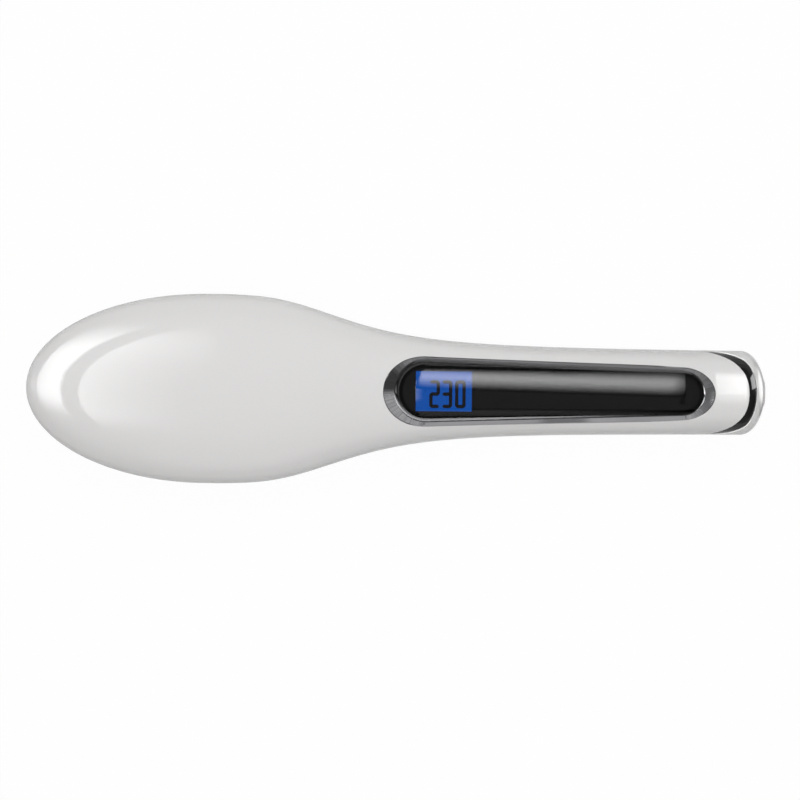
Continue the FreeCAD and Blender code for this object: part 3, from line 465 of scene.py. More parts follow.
@dataclass(frozen=True)
class PearlLacquer(Finish):
    """Glossy pearl lacquer on a moulding."""

    colour: Colour
    flake: Colour
    flake_size: float = 0.12 * MM
    flake_depth: float = 0.0004 * MM
    patch_size: float = 60 * MM

    def material(self) -> bpy.types.Material:
        """Build the material.

        Returns:
            The material.
        """
        fixed = {"Roughness": 0.25, "IOR": 1.45, "Specular IOR Level": 0.2,
                 "Coat Weight": 1.0, "Coat Roughness": 0.02, "Coat IOR": 1.6}
        material, bench, shader = self.start(fixed)
        pearl = self.group(bench, Group.PEARL_LUSTRE, {
            "Colour": self.colour, "Flake": self.flake,
            "Flake Size": self.flake_size, "Patch Size": self.patch_size})
        bench.join(pearl.outputs["Colour"], shader.inputs["Base Color"])
        self.bump(bench, shader, pearl.outputs["Height"], self.flake_depth)
        return material


@dataclass(frozen=True)
class Moulding(Finish):
    """Moulded plastic, rubber or ceramic."""

    colour: Colour
    shade: Colour
    gloss: float
    gloss_spread: float = 0.08
    patch_size: float = 18 * MM
    grain_size: float = 0.35 * MM
    grain_depth: float = 0.01 * MM
    coat: float = 0.0

    def material(self) -> bpy.types.Material:
        """Build the material.

        Returns:
            The material.
        """
        fixed = {"IOR": 1.5, "Coat Weight": self.coat, "Coat Roughness": 0.02}
        material, bench, shader = self.start(fixed)
        skin = self.group(bench, Group.MOULDED_SKIN, {
            "Colour": self.colour, "Shade": self.shade, "Gloss": self.gloss,
            "Gloss Spread": self.gloss_spread, "Patch Size": self.patch_size, "Grain Size": self.grain_size})
        bench.wire(skin, shader, {"Colour": "Base Color", "Roughness": "Roughness"})
        self.bump(bench, shader, skin.outputs["Height"], self.grain_depth)
        return material


@dataclass(frozen=True)
class Metal(Finish):
    """Bare or plated metal."""

    colour: Colour
    shade: Colour
    gloss: float
    gloss_spread: float = 0.06
    line_size: float = 0.3 * MM
    line_depth: float = 0.002 * MM
    stretch: Place = (0.05, 1.0, 1.0)

    def material(self) -> bpy.types.Material:
        """Build the material.

        Returns:
            The material.
        """
        material, bench, shader = self.start({"Metallic": 1.0})
        drawn = self.group(bench, Group.DRAWN_METAL, {
            "Colour": self.colour, "Shade": self.shade, "Gloss": self.gloss,
            "Gloss Spread": self.gloss_spread, "Line Size": self.line_size, "Stretch": self.stretch})
        bench.wire(drawn, shader, {"Colour": "Base Color", "Roughness": "Roughness"})
        self.bump(bench, shader, drawn.outputs["Height"], self.line_depth)
        return material


@dataclass(frozen=True)
class ClearGlazing(Finish):
    """Clear polished window, with faint smears from handling."""

    tint: Colour
    smear_size: float = 20 * MM
    smear_gloss: float = 0.008
    smear_detail: float = 3.0

    def material(self) -> bpy.types.Material:
        """Build the material.

        Returns:
            The material.
        """
        fixed = {"Base Color": (*self.tint, 1.0), "IOR": 1.49, "Transmission Weight": 1.0}
        material, bench, shader = self.start(fixed)
        smears = bench.noise(bench.place(), self.smear_size, self.smear_detail)
        sway = bench.math("SUBTRACT", smears, NOISE_MIDDLE)
        rough = bench.math("MAXIMUM", bench.math("MULTIPLY", sway, self.smear_gloss), 0.0)
        bench.join(rough, shader.inputs["Roughness"])
        return material


@dataclass(frozen=True)
class LitGlass(Finish):
    """Display glass with its own light, a little uneven across."""

    colour: Colour
    glow: Colour
    edge_glow: Colour
    patch_size: float = 16 * MM

    def material(self) -> bpy.types.Material:
        """Build the material.

        Returns:
            The material.
        """
        fixed = {"Base Color": (*self.colour, 1.0), "Roughness": 0.12, "Emission Strength": 1.0}
        material, bench, shader = self.start(fixed)
        patches = bench.noise(bench.place(), self.patch_size)
        glow = bench.blend(patches, self.glow, self.edge_glow)
        bench.join(glow, shader.inputs["Emission Color"])
        return material


# Finishes of the record's material slots, of the digits and of the button signs
FINISHES: tuple[Finish, ...] = (
    PearlLacquer("pearl_white", (0.80, 0.79, 0.785), (0.74, 0.735, 0.73)),
    Moulding("piano_black", (0.006, 0.0055, 0.006), (0.009, 0.0085, 0.0095), 0.05, 0.04,
             grain_size=3 * MM, grain_depth=0.001 * MM),
    Metal("bright_chrome", (0.66, 0.655, 0.67), (0.58, 0.575, 0.595), 0.05, 0.05,
          line_size=6 * MM, line_depth=0.001 * MM, stretch=(0.4, 1.0, 1.0)),
    ClearGlazing("clear_window", (0.93, 0.93, 0.94)),
    LitGlass("lcd_glass", (0.0, 0.01, 0.03), (0.0, 0.065, 0.35), (0.0, 0.08, 0.40)),
    Moulding("comb_grey", (0.055, 0.055, 0.06), (0.075, 0.075, 0.08), 0.55, 0.15),
    Metal("tooth_alloy", (0.72, 0.715, 0.71), (0.60, 0.60, 0.60), 0.32, 0.15,
          line_size=0.25 * MM, stretch=(1.0, 1.0, 0.06)),
    Moulding("tip_black", (0.022, 0.022, 0.024), (0.035, 0.035, 0.037), 0.48, 0.15),
    Moulding("guard_grey", (0.07, 0.07, 0.074), (0.10, 0.10, 0.105), 0.6, 0.15),
    Moulding("button_grey", (0.045, 0.045, 0.048), (0.06, 0.06, 0.064), 0.38, 0.12),
    Moulding("inlet_white", (0.74, 0.735, 0.73), (0.68, 0.675, 0.67), 0.35, 0.15),
    Moulding("heater_ceramic", (0.78, 0.76, 0.71), (0.68, 0.65, 0.60), 0.6),
    Moulding("mica_brown", (0.42, 0.36, 0.27), (0.30, 0.25, 0.18), 0.45, patch_size=4 * MM),
    Metal("clamp_steel", (0.56, 0.56, 0.57), (0.46, 0.46, 0.47), 0.3),
    Metal("screw_steel", (0.58, 0.58, 0.59), (0.46, 0.46, 0.47), 0.28, stretch=(1.0, 1.0, 0.3)),
    Moulding("sensor_glass", (0.42, 0.18, 0.10), (0.30, 0.12, 0.07), 0.1, coat=0.6),
    Moulding("lead_sleeve", (0.62, 0.60, 0.56), (0.52, 0.50, 0.46), 0.6),
    Moulding("board_green", (0.02, 0.15, 0.07), (0.015, 0.11, 0.05), 0.35, patch_size=3 * MM),
    Moulding("part_black", (0.025, 0.025, 0.026), (0.04, 0.04, 0.042), 0.45),
    Moulding("light_guide", (0.85, 0.85, 0.86), (0.76, 0.77, 0.80), 0.35),
    Moulding("strip_rubber", (0.36, 0.25, 0.25), (0.12, 0.10, 0.10), 0.6, patch_size=0.6 * MM),
    Metal("contact_brass", (0.76, 0.58, 0.27), (0.64, 0.46, 0.20), 0.25),
    Moulding("digit_ink", (0.006, 0.007, 0.012), (0.010, 0.012, 0.020), 0.35, grain_depth=0.001 * MM),
    Moulding("sign_paint", (0.74, 0.74, 0.74), (0.66, 0.66, 0.66), 0.5, patch_size=2 * MM,
             grain_size=0.15 * MM, grain_depth=0.004 * MM),
)


class Element(Enum):
    """Kinds of mesh element that can be chosen by place."""

    EDGE = 1
    FACE = 2


class Modeller:
    """Steps of modelling by hand that several pieces share."""

    @staticmethod
    def begin() -> None:
        """Leave edit mode and select nothing."""
        if bpy.context.object and bpy.context.object.mode != "OBJECT":
            bpy.ops.object.mode_set(mode="OBJECT")
        bpy.ops.object.select_all(action="DESELECT")

    @staticmethod
    def settle(piece: Thing) -> None:
        """Put the place, turn and size of a piece into its mesh."""
        Modeller.only(piece)
        bpy.ops.object.transform_apply(location=True, rotation=True, scale=True)

    @staticmethod
    def only(piece: Thing) -> None:
        """Select one piece alone and make it active.

        Args:
            piece: The piece.
        """
        Modeller.begin()
        piece.select_set(True)
        bpy.context.view_layer.objects.active = piece

    @staticmethod
    def choose(piece: Thing, kind: Element, test: Callable[[Vector, Vector], bool]) -> None:
        """Go into edit mode with the wanted edges or faces selected.

        Args:
            piece: The piece to edit.
            kind: Edges or faces.
            test: Takes the centre and the direction or normal of each element.
        """
        Modeller.only(piece)
        bpy.ops.object.mode_set(mode="EDIT")
        modes = (False, kind is Element.EDGE, kind is Element.FACE)
        bpy.context.tool_settings.mesh_select_mode = modes
        bpy.ops.mesh.select_all(action="DESELECT")
        bpy.ops.object.mode_set(mode="OBJECT")
        mesh = piece.data
        if kind is Element.FACE:
            for face in mesh.polygons:
                face.select = test(face.center, face.normal)
        else:
            for edge in mesh.edges:
                first, second = (mesh.vertices[index].co for index in edge.vertices)
                edge.select = test((first + second) / 2, (second - first).normalized())
        bpy.ops.object.mode_set(mode="EDIT")

    @staticmethod
    def apply(piece: Thing, kind: str, **settings: object) -> None:
        """Add a modifier and apply it.

        Args:
            piece: The piece that gets it.
            kind: Type of the modifier.
            settings: Values for the modifier.
        """
        Modeller.only(piece)
        modifier = piece.modifiers.new(kind.lower(), kind)
        for name, value in settings.items():
            setattr(modifier, name, value)
        bpy.ops.object.modifier_apply(modifier=modifier.name)

    @staticmethod
    def copy_to(piece: Thing, place: Vector) -> Thing:
        """Copy a piece with its own mesh, moved to a place.

        Args:
            piece: The piece, modelled at the origin.
            place: Where the copy goes.

        Returns:
            The copy.
        """
        copy = piece.copy()
        copy.data = piece.data.copy()
        copy.data.transform(Matrix.Translation(place))
        bpy.context.scene.collection.objects.link(copy)
        return copy

    @staticmethod
    def unite(name: str, parts: list[Thing]) -> Thing:
        """Join meshes into one piece with its normals outwards.

        Args:
            name: Name of the piece.
            parts: What is joined.

        Returns:
            The piece.
        """
        Modeller.begin()
        for part in parts:
            part.select_set(True)
        bpy.context.view_layer.objects.active = parts[0]
        bpy.ops.object.join()
        piece = bpy.context.object
        piece.name = name
        piece.data.name = name
        Modeller.outwards(piece)
        return piece

    @staticmethod
    def outwards(piece: Thing) -> None:
        """Turn all faces of a piece outwards.

        Args:
            piece: The piece.
        """
        Modeller.only(piece)
        bpy.ops.object.mode_set(mode="EDIT")
        bpy.ops.mesh.select_all(action="SELECT")
        bpy.ops.mesh.normals_make_consistent(inside=False)
        bpy.ops.object.mode_set(mode="OBJECT")

    @staticmethod
    def smooth(piece: Thing, degrees: float = 35.0) -> None:
        """Shade a piece smooth, with edges sharper than an angle kept."""
        Modeller.only(piece)
        bpy.ops.object.shade_smooth_by_angle(angle=math.radians(degrees))


class SubAssembly:
    """Pieces of the brush that belong together."""

    nodes: ClassVar[tuple[str, ...]] = ()

    def build(self, wardrobe: "Wardrobe") -> None:
        """Dress the CAD nodes, then make the new pieces.

        Args:
            wardrobe: Holds the materials.
        """
        for name in self.nodes:
            slot = wardrobe.slot_of[name]
            wardrobe.put_on(frame["nodes"][name], slot)
            LOG.info("%s in %s", name, slot)
        self.model(wardrobe)

    def model(self, wardrobe: "Wardrobe") -> None:
        """Make the new pieces, if there are any."""

    def place(self, piece: Thing, body: str, slot: str, stands_for: str = "") -> None:
        """Fix a new piece to its body.

        Args:
            piece: The finished piece.
            body: Body that it moves with.
            slot: Record slot named for the piece; not used.
            stands_for: CAD node that it replaces, if it replaces one.
        """
        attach(piece, body)
        if stands_for:
            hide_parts(stands_for)
        LOG.info("%s on %s", piece.name, body)


class Wardrobe:
    """All materials, and which slot each CAD node has."""

    def __init__(self) -> None:
        """Build the materials."""
        self.materials = {finish.name: finish.material() for finish in FINISHES}
        self.slot_of = {part["node"]: part["material_slot"] for part in frame["record"]["subparts"]}

    def put_on(self, piece: Thing, name: str) -> None:
        """Give a piece one material."""
        piece.data.materials.clear()
        piece.data.materials.append(self.materials[name])


@dataclass
class Housing(SubAssembly):
    """Shells, tail and the screws that hold the casing together."""

    nodes = ("back_shell", "front_shell", "tail_trim", "tail_cap", "head_screws", "neck_screws")
    head_radius: float = 2.3 * MM
    head_height: float = 1.6 * MM
    shank_radius: float = 1.4 * MM
    recess_length: float = 2.7 * MM
    recess_width: float = 0.7 * MM
    recess_depth: float = 1.0 * MM
    rim_share: float = 0.45
    rim_steps: int = 5
    point_share: float = 0.1
    point_width: float = 0.3

    def model(self, wardrobe: Wardrobe) -> None:
        """Replace the plain casing screws by ones with a cross recess.

        Args:
            wardrobe: Holds the materials.
        """
        for node in ("head_screws", "neck_screws"):
            low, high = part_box(node)
            inset = Vector((self.head_radius, self.head_radius, 0))
            first, last = low + inset, high - inset
            pattern = self._screw(high.z - low.z - self.head_height)
            xs = sorted({round(first.x, 6), round(last.x, 6)})
            places = [Vector((x, y, low.z)) for x in xs for y in (first.y, last.y)]
            screws = [Modeller.copy_to(pattern, place) for place in places]
            bpy.data.objects.remove(pattern)
            piece = Modeller.unite("cross_" + node, screws)
            Modeller.smooth(piece)
            wardrobe.put_on(piece, "screw_steel")
            self.place(piece, "root", "screw_steel", node)

    def _screw(self, length: float) -> Thing:
        """One screw with the end of its head at the origin and its shank upwards.

        Args:
            length: Length of the shank.

        Returns:
            The screw.
        """
        Modeller.begin()
        bpy.ops.mesh.primitive_cylinder_add(vertices=ROUND_CORNERS, radius=self.head_radius,
                                            depth=self.head_height, location=(0, 0, self.head_height / 2))
        screw = bpy.context.object
        Modeller.settle(screw)
        Modeller.choose(screw, Element.EDGE, lambda centre, way: centre.z < TOUCH)
        bpy.ops.mesh.bevel(offset=self.head_height * self.rim_share, segments=self.rim_steps,
                           affect="EDGES")
        Modeller.choose(screw, Element.FACE, lambda centre, normal: normal.z > ALIGNED)
        bpy.ops.mesh.inset(thickness=self.head_radius - self.shank_radius)
        for share in (1.0 - self.point_share, self.point_share):
            bpy.ops.mesh.extrude_region_move(TRANSFORM_OT_translate={"value": (0, 0, length * share)})
        bpy.ops.transform.resize(value=(self.point_width, self.point_width, 1.0))
        for turn in (0.0, math.pi / 2):
            Modeller.begin()
            bpy.ops.mesh.primitive_cube_add(size=1.0, rotation=(0, 0, turn))
            cutter = bpy.context.object
            cutter.scale = (self.recess_length, self.recess_width, self.recess_depth * 2)
            Modeller.settle(cutter)
            Modeller.apply(screw, "BOOLEAN", operation="DIFFERENCE", object=cutter, solver="EXACT")
            bpy.data.objects.remove(cutter)
        return screw


class Segment(Enum):
    """Bars of a seven-bar digit: middle in half widths and half heights, and whether it lies flat."""

    TOP = (0, 1, True)
    TOP_RIGHT = (1, 0.5, False)
    LOW_RIGHT = (1, -0.5, False)
    BOTTOM = (0, -1, True)
    LOW_LEFT = (-1, -0.5, False)
    TOP_LEFT = (-1, 0.5, False)
    MIDDLE = (0, 0, True)


@dataclass
class Display(SubAssembly):
    """Bezel, window and lit display with its three digits."""

    nodes = ("display_bezel", "display_window", "lcd_holder", "lcd_panel", "lcd_backlight", "contact_strips")
    digit_height: float = 10.4 * MM
    digit_width: float = 4.1 * MM
    stroke: float = 1.3 * MM
    gap: float = 0.25 * MM
    ink: float = 0.05 * MM
    point_share: float = 0.47
    middles: tuple[float, ...] = (14.75 * MM, 19.5 * MM, 24.65 * MM)
    drop: float = -1.05 * MM

    def model(self, wardrobe: Wardrobe) -> None:
        """Lay the three digits on the display glass.

        Args:
            wardrobe: Holds the materials.
        """
        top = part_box("lcd_panel")[1].z
        half_x = (self.digit_width - self.stroke) / 2
        half_y = (self.digit_height - self.stroke) / 2
        bars = {True: self._bar(2 * half_x), False: self._bar(half_y)}
        bars[False].rotation_euler = (0, 0, math.pi / 2)
        Modeller.settle(bars[False])
        two = set(Segment) - {Segment.TOP_LEFT, Segment.LOW_RIGHT}
        three = set(Segment) - {Segment.TOP_LEFT, Segment.LOW_LEFT}
        nought = set(Segment) - {Segment.MIDDLE}
        copies = []
        for middle, lit in zip(self.middles, (two, three, nought)):
            for segment in sorted(lit, key=lambda item: item.name):
                x, y, flat = segment.value
                place = Vector((middle + x * half_x, self.drop + y * half_y, top + self.ink / 2))
                copies.append(Modeller.copy_to(bars[flat], place))
        for bar in bars.values():
            bpy.data.objects.remove(bar)
        piece = Modeller.unite("display_digits", copies)
        wardrobe.put_on(piece, "digit_ink")
        self.place(piece, "root", "lcd_glass")

    def _bar(self, reach: float) -> Thing:
        """One bar with pointed ends, along X at the origin.

        Args:
            reach: Distance between the corners of the digit that it joins.

        Returns:
            The bar.
        """
        Modeller.begin()
        bpy.ops.mesh.primitive_cube_add(size=1.0)
        bar = bpy.context.object
        bar.scale = (reach + self.stroke - 2 * self.gap, self.stroke, self.ink)
        Modeller.settle(bar)
        Modeller.choose(bar, Element.EDGE, lambda centre, way: abs(way.z) > ALIGNED)
        bpy.ops.mesh.bevel(offset=self.stroke * self.point_share, segments=1, affect="EDGES")
        bpy.ops.object.mode_set(mode="OBJECT")
        return bar


class Comb(SubAssembly):
    """Cover of the head with its teeth and soft pins."""

    nodes = ("comb_cover", "heated_teeth", "tooth_tips", "guard_bristles")


class Heater(SubAssembly):
    """Plate, heaters and their safety parts inside the head."""

    nodes = ("heat_plate", "ptc_heaters", "mica_sheet", "heater_clamp", "clamp_screws", "insulator_bushes",
             "thermal_fuse", "temperature_sensor", "heater_leads", "fuse_lead", "sensor_lead")


class Electronics(SubAssembly):
    """Main board and its parts inside the handle."""

    nodes = ("main_board", "board_screws", "power_capacitor", "power_triac", "terminal_block")


@dataclass
class Buttons(SubAssembly):
    """Inlay with three push buttons, their signs and the switches behind them."""

    nodes = ("button_panel", "plus_button", "minus_button", "power_button", "plus_plunger", "minus_plunger",
             "power_plunger", "key_switches", "key_board", "key_screws")
    reach: float = 1.7 * MM
    stroke: float = 0.6 * MM
    thickness: float = 0.12 * MM
    lift: float = 0.04 * MM
    cuts: int = 3
    bar_cuts: int = 4
    gap_slope: float = 1.6
    power_bar_place: float = 0.75

    def model(self, wardrobe: Wardrobe) -> None:
        """Put a sign on each button.

        Args:
            wardrobe: Holds the materials.
        """
        signs = {"plus": self._plus, "minus": self._minus, "power": self._power}
        for body, draw in signs.items():
            node = frame["nodes"][body + "_button"]
            low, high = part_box(body + "_button")
            sign = draw()
            sign.name = body + "_sign"
            sign.location = ((low.x + high.x) / 2, 0, low.z - self.stroke)
            Modeller.settle(sign)
            bpy.ops.object.mode_set(mode="EDIT")
            bpy.ops.mesh.select_all(action="SELECT")
            bpy.ops.mesh.subdivide(number_cuts=self.cuts)
            bpy.ops.object.mode_set(mode="OBJECT")
            Modeller.apply(sign, "SHRINKWRAP", target=node, wrap_method="PROJECT", use_project_z=True,
                           use_positive_direction=True, offset=-self.lift)
            Modeller.apply(sign, "SOLIDIFY", thickness=self.thickness, offset=0.0)
            Modeller.outwards(sign)
            wardrobe.put_on(sign, "sign_paint")
            self.place(sign, body, "button_grey")

    def _minus(self) -> Thing:
        """Flat bar across the brush.

        Returns:
            The sign.
        """
        Modeller.begin()
        bpy.ops.mesh.primitive_plane_add(size=1.0)
        sign = bpy.context.object
        sign.scale = (self.stroke, 2 * self.reach, 1.0)
        Modeller.settle(sign)
        Modeller.choose(sign, Element.EDGE, lambda centre, way: abs(way.x) > ALIGNED)
        bpy.ops.mesh.subdivide(number_cuts=self.bar_cuts)
        bpy.ops.object.mode_set(mode="OBJECT")
        return sign

    def _plus(self) -> Thing:
        """Flat cross: a square with an arm drawn out from each side.

        Returns:
            The sign.
        """
        Modeller.begin()
        bpy.ops.mesh.primitive_plane_add(size=self.stroke)
        sign = bpy.context.object
        arm = self.reach - self.stroke / 2
        for way in (Vector((1, 0, 0)), Vector((-1, 0, 0)), Vector((0, 1, 0)), Vector((0, -1, 0))):
            side = way * self.stroke / 2
            Modeller.choose(sign, Element.EDGE, lambda centre, _: (centre - side).length < TOUCH)
            bpy.ops.mesh.extrude_region_move(TRANSFORM_OT_translate={"value": way * arm})
            bpy.ops.object.mode_set(mode="OBJECT")
        return sign

    def _power(self) -> Thing:
        """Open ring with a bar in its gap, which faces the head.

        Returns:
            The sign.
        """
        Modeller.begin()
        bpy.ops.mesh.primitive_circle_add(vertices=ROUND_CORNERS, radius=self.reach, fill_type="NGON")
        sign = bpy.context.object
        Modeller.choose(sign, Element.FACE, lambda centre, normal: True)
        bpy.ops.mesh.inset(thickness=self.stroke)
        bpy.ops.mesh.delete(type="FACE")
        Modeller.choose(sign, Element.FACE,
                        lambda centre, normal: centre.x < -abs(centre.y) * self.gap_slope)
        bpy.ops.mesh.delete(type="FACE")
        Modeller.begin()
        bpy.ops.mesh.primitive_plane_add(size=1.0, location=(-self.reach * self.power_bar_place, 0, 0))
        bar = bpy.context.object
        bar.scale = (self.reach, self.stroke, 1.0)
        Modeller.settle(bar)
        return Modeller.unite("power_sign", [sign, bar])


class CordInlet(SubAssembly):
    """Turning inlet at the tail with its contacts."""

    nodes = ("cord_swivel", "slip_rings", "contact_springs", "contact_carrier", "supply_leads")


class Sight(Enum):
    """Which rays a panel of the studio is hidden from."""

    LIGHT_ONLY = ("camera", "glossy", "transmission")
    GLOSS_ONLY = ("camera", "diffuse", "transmission", "shadow", "volume_scatter")
    DARK_SURROUND = ("camera", "diffuse", "shadow", "volume_scatter")


class StagePanel:
    """Glowing panel of the studio, which isn't part of the brush."""

    name: str
    sight: Sight

    def light(self, panel: Thing, shade: Callable[[ShaderBench], Socket]) -> None:
        """Make a new panel glow and hide it from some rays.

        Args:
            panel: The panel.
            shade: Builds the nodes of the glow's strength.
        """
        panel.name = self.name
        bench = ShaderBench.for_stage(panel, self.name)
        glow = bench.add("ShaderNodeEmission")
        bench.join(shade(bench), glow.inputs["Strength"])
        bench.join(glow.outputs[0], bench.add("ShaderNodeOutputMaterial").inputs["Surface"])
        for kind in self.sight.value:
            setattr(panel, "visible_" + kind, False)


@dataclass(frozen=True)
class SoftBox(StagePanel):
    """Flat panel, level or upright across the brush, whose glow fades towards its four edges.

    Its fade is the share of its size that each edge takes. Its later_share is what is left of its glow in
    second and later reflections.
    """

    name: str
    low: Pair
    high: Pair
    height: float
    radiance: float
    fade: Four
    sight: Sight = Sight.GLOSS_ONLY
    turn: float = 0.0
    upright: bool = False
    later_share: float = 1.0
    unit: float = 1.0

    def build(self) -> None:
        """Make the panel. Upright, its two ranges are those of Z and Y, and its height is its X."""
        Modeller.begin()
        ranges = list(zip(self.low, self.high))
        size = [(high - low) * self.unit for low, high in ranges]
        middle = [(high + low) / 2 * self.unit for low, high in ranges]
        height = self.height * self.unit
        place = (height, middle[1], middle[0]) if self.upright else (*middle, height)
        turn = (0, -math.pi / 2, 0) if self.upright else (0, 0, math.radians(self.turn))
        bpy.ops.mesh.primitive_plane_add(size=1.0, location=place, rotation=turn)
        panel = bpy.context.object
        panel.scale = (*size, 1.0)
        self.light(panel, self._shade)

    def _shade(self, bench: ShaderBench) -> Socket:
        """Strength that falls off towards the four edges.

        Args:
            bench: The bench for the nodes.

        Returns:
            The socket with the strength.
        """
        x, y = bench.split(bench.add("ShaderNodeTexCoord").outputs["UV"])
        ways = (x, bench.math("SUBTRACT", 1.0, x), y, bench.math("SUBTRACT", 1.0, y))
        level = self.radiance
        for way, width in zip(ways, self.fade):
            level = bench.math("MULTIPLY", bench.rise(way, 0.0, width), level)
        depth = bench.add("ShaderNodeLightPath").outputs["Ray Depth"]
        later = bench.math("GREATER_THAN", depth, FIRST_REFLECTION)
        dim = bench.math("SUBTRACT", 1.0, bench.math("MULTIPLY", later, 1.0 - self.later_share))
        return bench.math("MULTIPLY", level, dim)


@dataclass(frozen=True)
class Halo(StagePanel):
    """Large round light over the head: a disc that fades inwards, a dark seam and a wide ring."""

    name: str = "halo"
    sight: Sight = Sight.GLOSS_ONLY
    centre: Pair = (1.385, -0.44)
    height: float = 3.0
    reach: float = 11.0
    base: float = 0.16
    disc: Stops = ((0, 0), (1.75, 0), (3.03, 3.1), (3.1, 0), (11, 0))
    disc_sweep: Four = (-26, -8, 32, 60)
    ring: Stops = ((0, 0), (3.66, 0), (3.9, 5.5), (6, 4.7), (8.9, 3.3), (9.8, 0), (11, 0))
    ring_sweep: Four = (-22, 0, 31, 56)

    def build(self) -> None:
        """Make the light."""
        Modeller.begin()
        bpy.ops.mesh.primitive_circle_add(vertices=PANEL_CORNERS, radius=self.reach, fill_type="NGON",
                                          location=(*self.centre, self.height))
        self.light(bpy.context.object, self._shade)

    def _shade(self, bench: ShaderBench) -> Socket:
        """Strength by distance from the middle and by direction.

        Args:
            bench: The bench for the nodes.

        Returns:
            The socket with the strength.
        """
        place = bench.place()
        x, y = bench.split(place)
        length = bench.add("ShaderNodeVectorMath", operation="LENGTH")
        bench.join(place, length.inputs[0])
        angle = bench.math("DEGREES", bench.math("ARCTAN2", y, bench.math("MULTIPLY", x, -1.0)))
        level = self.base
        layers = ((self.disc, self.disc_sweep), (self.ring, self.ring_sweep))
        for stops, (start, full, wane, end) in layers:
            window = bench.math("MULTIPLY", bench.rise(angle, start, full), bench.rise(angle, end, wane))
            glow = bench.math("MULTIPLY", bench.ramp(length.outputs["Value"], stops), window)
            level = bench.math("ADD", glow, level)
        return level


@dataclass(frozen=True)
class Surround(StagePanel):
    """Round wall of the studio, uneven in tone, which only reflections see."""

    name: str = "surround"
    sight: Sight = Sight.DARK_SURROUND
    radius: float = 9.5
    height: float = 3.2
    stops: Stops = (
        (-180, 1.4), (-174, 1.4), (-167, 0.2), (-140, 0.2), (-120, 0.3), (-60, 0.3), (-30, 0.06), (-6, 0.06),
        (5, 0.45), (100, 0.45), (150, 0.2), (167, 0.2), (174, 1.4), (180, 1.4))
    cloud_size: float = 0.25
    cloud_depth: float = 0.9

    def build(self) -> None:
        """Make the wall."""
        Modeller.begin()
        bpy.ops.mesh.primitive_cylinder_add(vertices=PANEL_CORNERS, radius=self.radius, depth=self.height,
                                            end_fill_type="NOTHING", location=(0, 0, self.height / 2))
        self.light(bpy.context.object, self._shade)

    def _shade(self, bench: ShaderBench) -> Socket:
        """Strength by the direction in which the wall stands, with clouds in it.

        Args:
            bench: The bench for the nodes.

        Returns:
            The socket with the strength.
        """
        place = bench.place()
        x, y = bench.split(place)
        tone = bench.ramp(bench.math("DEGREES", bench.math("ARCTAN2", y, x)), self.stops)
        cloud = bench.math("SUBTRACT", bench.noise(place, self.cloud_size), NOISE_MIDDLE)
        swell = bench.math("ADD", bench.math("MULTIPLY", cloud, 2 * self.cloud_depth), 1.0)
        return bench.math("MULTIPLY", tone, swell)


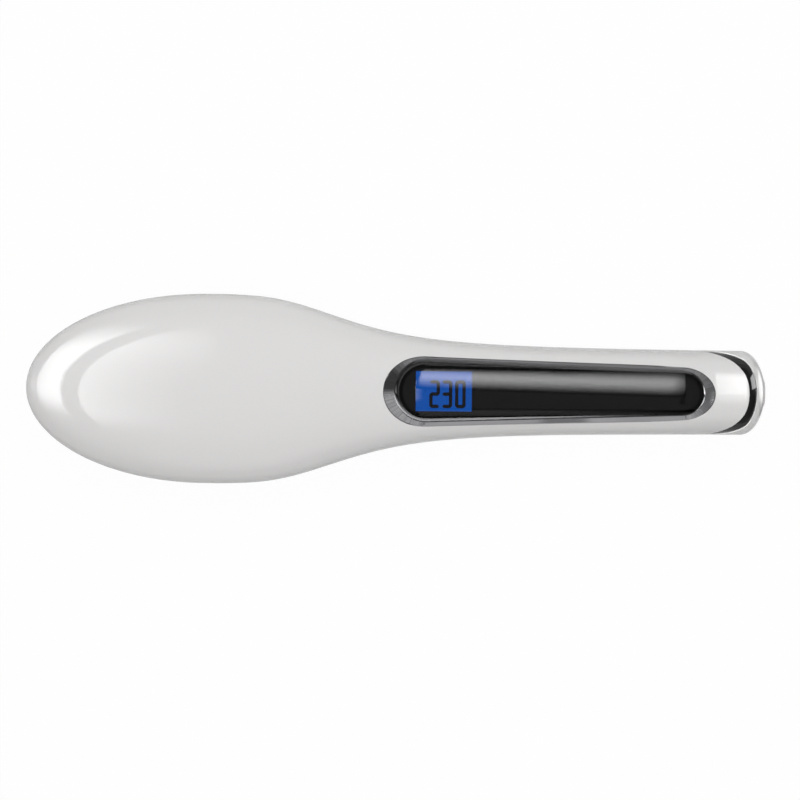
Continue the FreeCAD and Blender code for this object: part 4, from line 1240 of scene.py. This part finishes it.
@dataclass
class Studio:
    """Floor, glowing panels, world and the camera above the brush."""

    frame_width: float = 308.6 * MM
    centre: Place = (0.92 * MM, -3.8 * MM, 22 * MM)
    distance: float = 1.4
    tilt: float = 2.5
    roll: float = 0.55
    ambient: float = 0.25
    far: float = 20.0
    floor_size: float = 6.0
    floor_tone: float = 0.7
    glow_share: float = 0.975

    panels: ClassVar[tuple[StagePanel, ...]] = (
        Surround(),
        Halo(),
        SoftBox("ceiling", (-12, -12), (12, 12), 3.2, 0.1, SHARP, Sight.DARK_SURROUND),
        SoftBox("key_top", (-1.6, -1), (1.6, 2), 2.2, 3.6, (0.3,) * 4, Sight.LIGHT_ONLY),
        SoftBox("key_end", (0.2, 0.4), (1.2, 1.4), 1.6, 0.6, (0.2,) * 4, Sight.LIGHT_ONLY, upright=True),
        SoftBox("card_floor", (-600, -600), (600, 600), 0.3, 0.6, SHARP, unit=MM),
        SoftBox("card_front", (-1.5, -8), (2, -2.4), 2.9, 0.45, (0.15,) * 4),
        SoftBox("card_display", (-2, -1.5), (118, 43), 60, 7.4, (0.06, 0.09, 0.47, 0.54), turn=-5.0,
                later_share=0.35, unit=MM),
        SoftBox("card_tail", (122, -60), (215, 190), 150, 5.3, (0.3, 0.4, 0.32, 0.5),
                later_share=0.3, unit=MM),
        SoftBox("card_cap", (150, -14), (215, 26), 4, 2.7, (0.2, 0.3, 0.35, 0.35), unit=MM),
        SoftBox("card_trim", (27, 4), (45, 23), 160, 8.0, (0.1,) * 4, upright=True, unit=MM),
        SoftBox("flag_window", (-70, -40), (-4, 40), 58, 0.16, SHARP, unit=MM),
        SoftBox("flag_shell", (-24.7, 8.95), (15.3, 28.95), 40.5, 0.16, SHARP, turn=43.5, unit=MM),
        SoftBox("flag_tail", (112.5, -14), (123.5, 26), 40, 0.16, SHARP, unit=MM),
        SoftBox("flag_band", (66, 700), (94, 840), 150, 0.2, SHARP, unit=MM),
    )

    def build(self) -> None:
        """Set up the whole stage."""
        bpy.context.scene.view_settings.view_transform = "Standard"
        self._world()
        self._floor()
        self._camera()
        for panel in self.panels:
            panel.build()

    def _seen(self, bench: ShaderBench) -> Socket:
        """One where the camera, a reflection or clear plastic looks, else nought.

        Args:
            bench: The bench for the nodes.

        Returns:
            The socket.
        """
        path = bench.add("ShaderNodeLightPath")
        seen = bench.math("MAXIMUM", path.outputs["Is Camera Ray"], path.outputs["Is Glossy Ray"])
        return bench.math("MAXIMUM", seen, path.outputs["Is Transmission Ray"])

    def _world(self) -> None:
        """Even light from all round, white where the camera or a reflection sees it."""
        world = bpy.data.worlds.new("studio")
        bpy.context.scene.world = world
        world.use_nodes = True
        bench = ShaderBench(world.node_tree)
        bench.tree.nodes.clear()
        lift = bench.math("MULTIPLY", self._seen(bench), 1.0 - self.ambient)
        sky = bench.add("ShaderNodeBackground", {"Color": WHITE})
        bench.join(bench.math("ADD", lift, self.ambient), sky.inputs["Strength"])
        bench.join(sky.outputs[0], bench.add("ShaderNodeOutputWorld").inputs["Surface"])

    def _floor(self) -> None:
        """Pale floor that looks white, keeps a soft shadow and is clear from below."""
        Modeller.begin()
        bpy.ops.mesh.primitive_plane_add(size=self.floor_size, location=(0, 0, CAD_BOX[0].z))
        floor = bpy.context.object
        floor.name = "floor"
        bench = ShaderBench.for_stage(floor, "pale_floor")
        tone = self.floor_tone
        cover = bench.add("ShaderNodeBsdfDiffuse", {"Color": (tone, tone, tone, 1.0)})
        glow = bench.add("ShaderNodeEmission", {"Color": WHITE, "Strength": 1.0})
        mix = bench.add("ShaderNodeMixShader")
        bench.join(bench.math("MULTIPLY", self._seen(bench), self.glow_share), mix.inputs["Fac"])
        bench.join(cover.outputs[0], mix.inputs[1])
        bench.join(glow.outputs[0], mix.inputs[2])
        clear = bench.add("ShaderNodeMixShader")
        bench.join(bench.add("ShaderNodeNewGeometry").outputs["Backfacing"], clear.inputs["Fac"])
        bench.join(mix.outputs[0], clear.inputs[1])
        bench.join(bench.add("ShaderNodeBsdfTransparent").outputs[0], clear.inputs[2])
        bench.join(clear.outputs[0], bench.add("ShaderNodeOutputMaterial").inputs["Surface"])

    def _camera(self) -> None:
        """Camera almost straight above, turned a little about its own axis."""
        lens = bpy.data.cameras.new("view")
        camera = bpy.data.objects.new("view", lens)
        bpy.context.scene.collection.objects.link(camera)
        lens.lens = lens.sensor_width * self.distance / self.frame_width
        lens.clip_end = self.far
        lean = math.radians(self.tilt)
        away = Vector((0, math.sin(lean), math.cos(lean)))
        camera.location = Vector(self.centre) + self.distance * away
        camera.rotation_euler = (-lean, 0, math.radians(self.roll))
        bpy.context.scene.camera = camera


def main() -> None:
    """Dress the brush, add its new pieces and set up the stage."""
    logging.basicConfig(level=logging.INFO, format="%(message)s")
    wardrobe = Wardrobe()
    for part in (Housing(), Display(), Comb(), Heater(), Electronics(), Buttons(), CordInlet()):
        part.build(wardrobe)
    Studio().build()


if __name__ == "__main__":
    main()
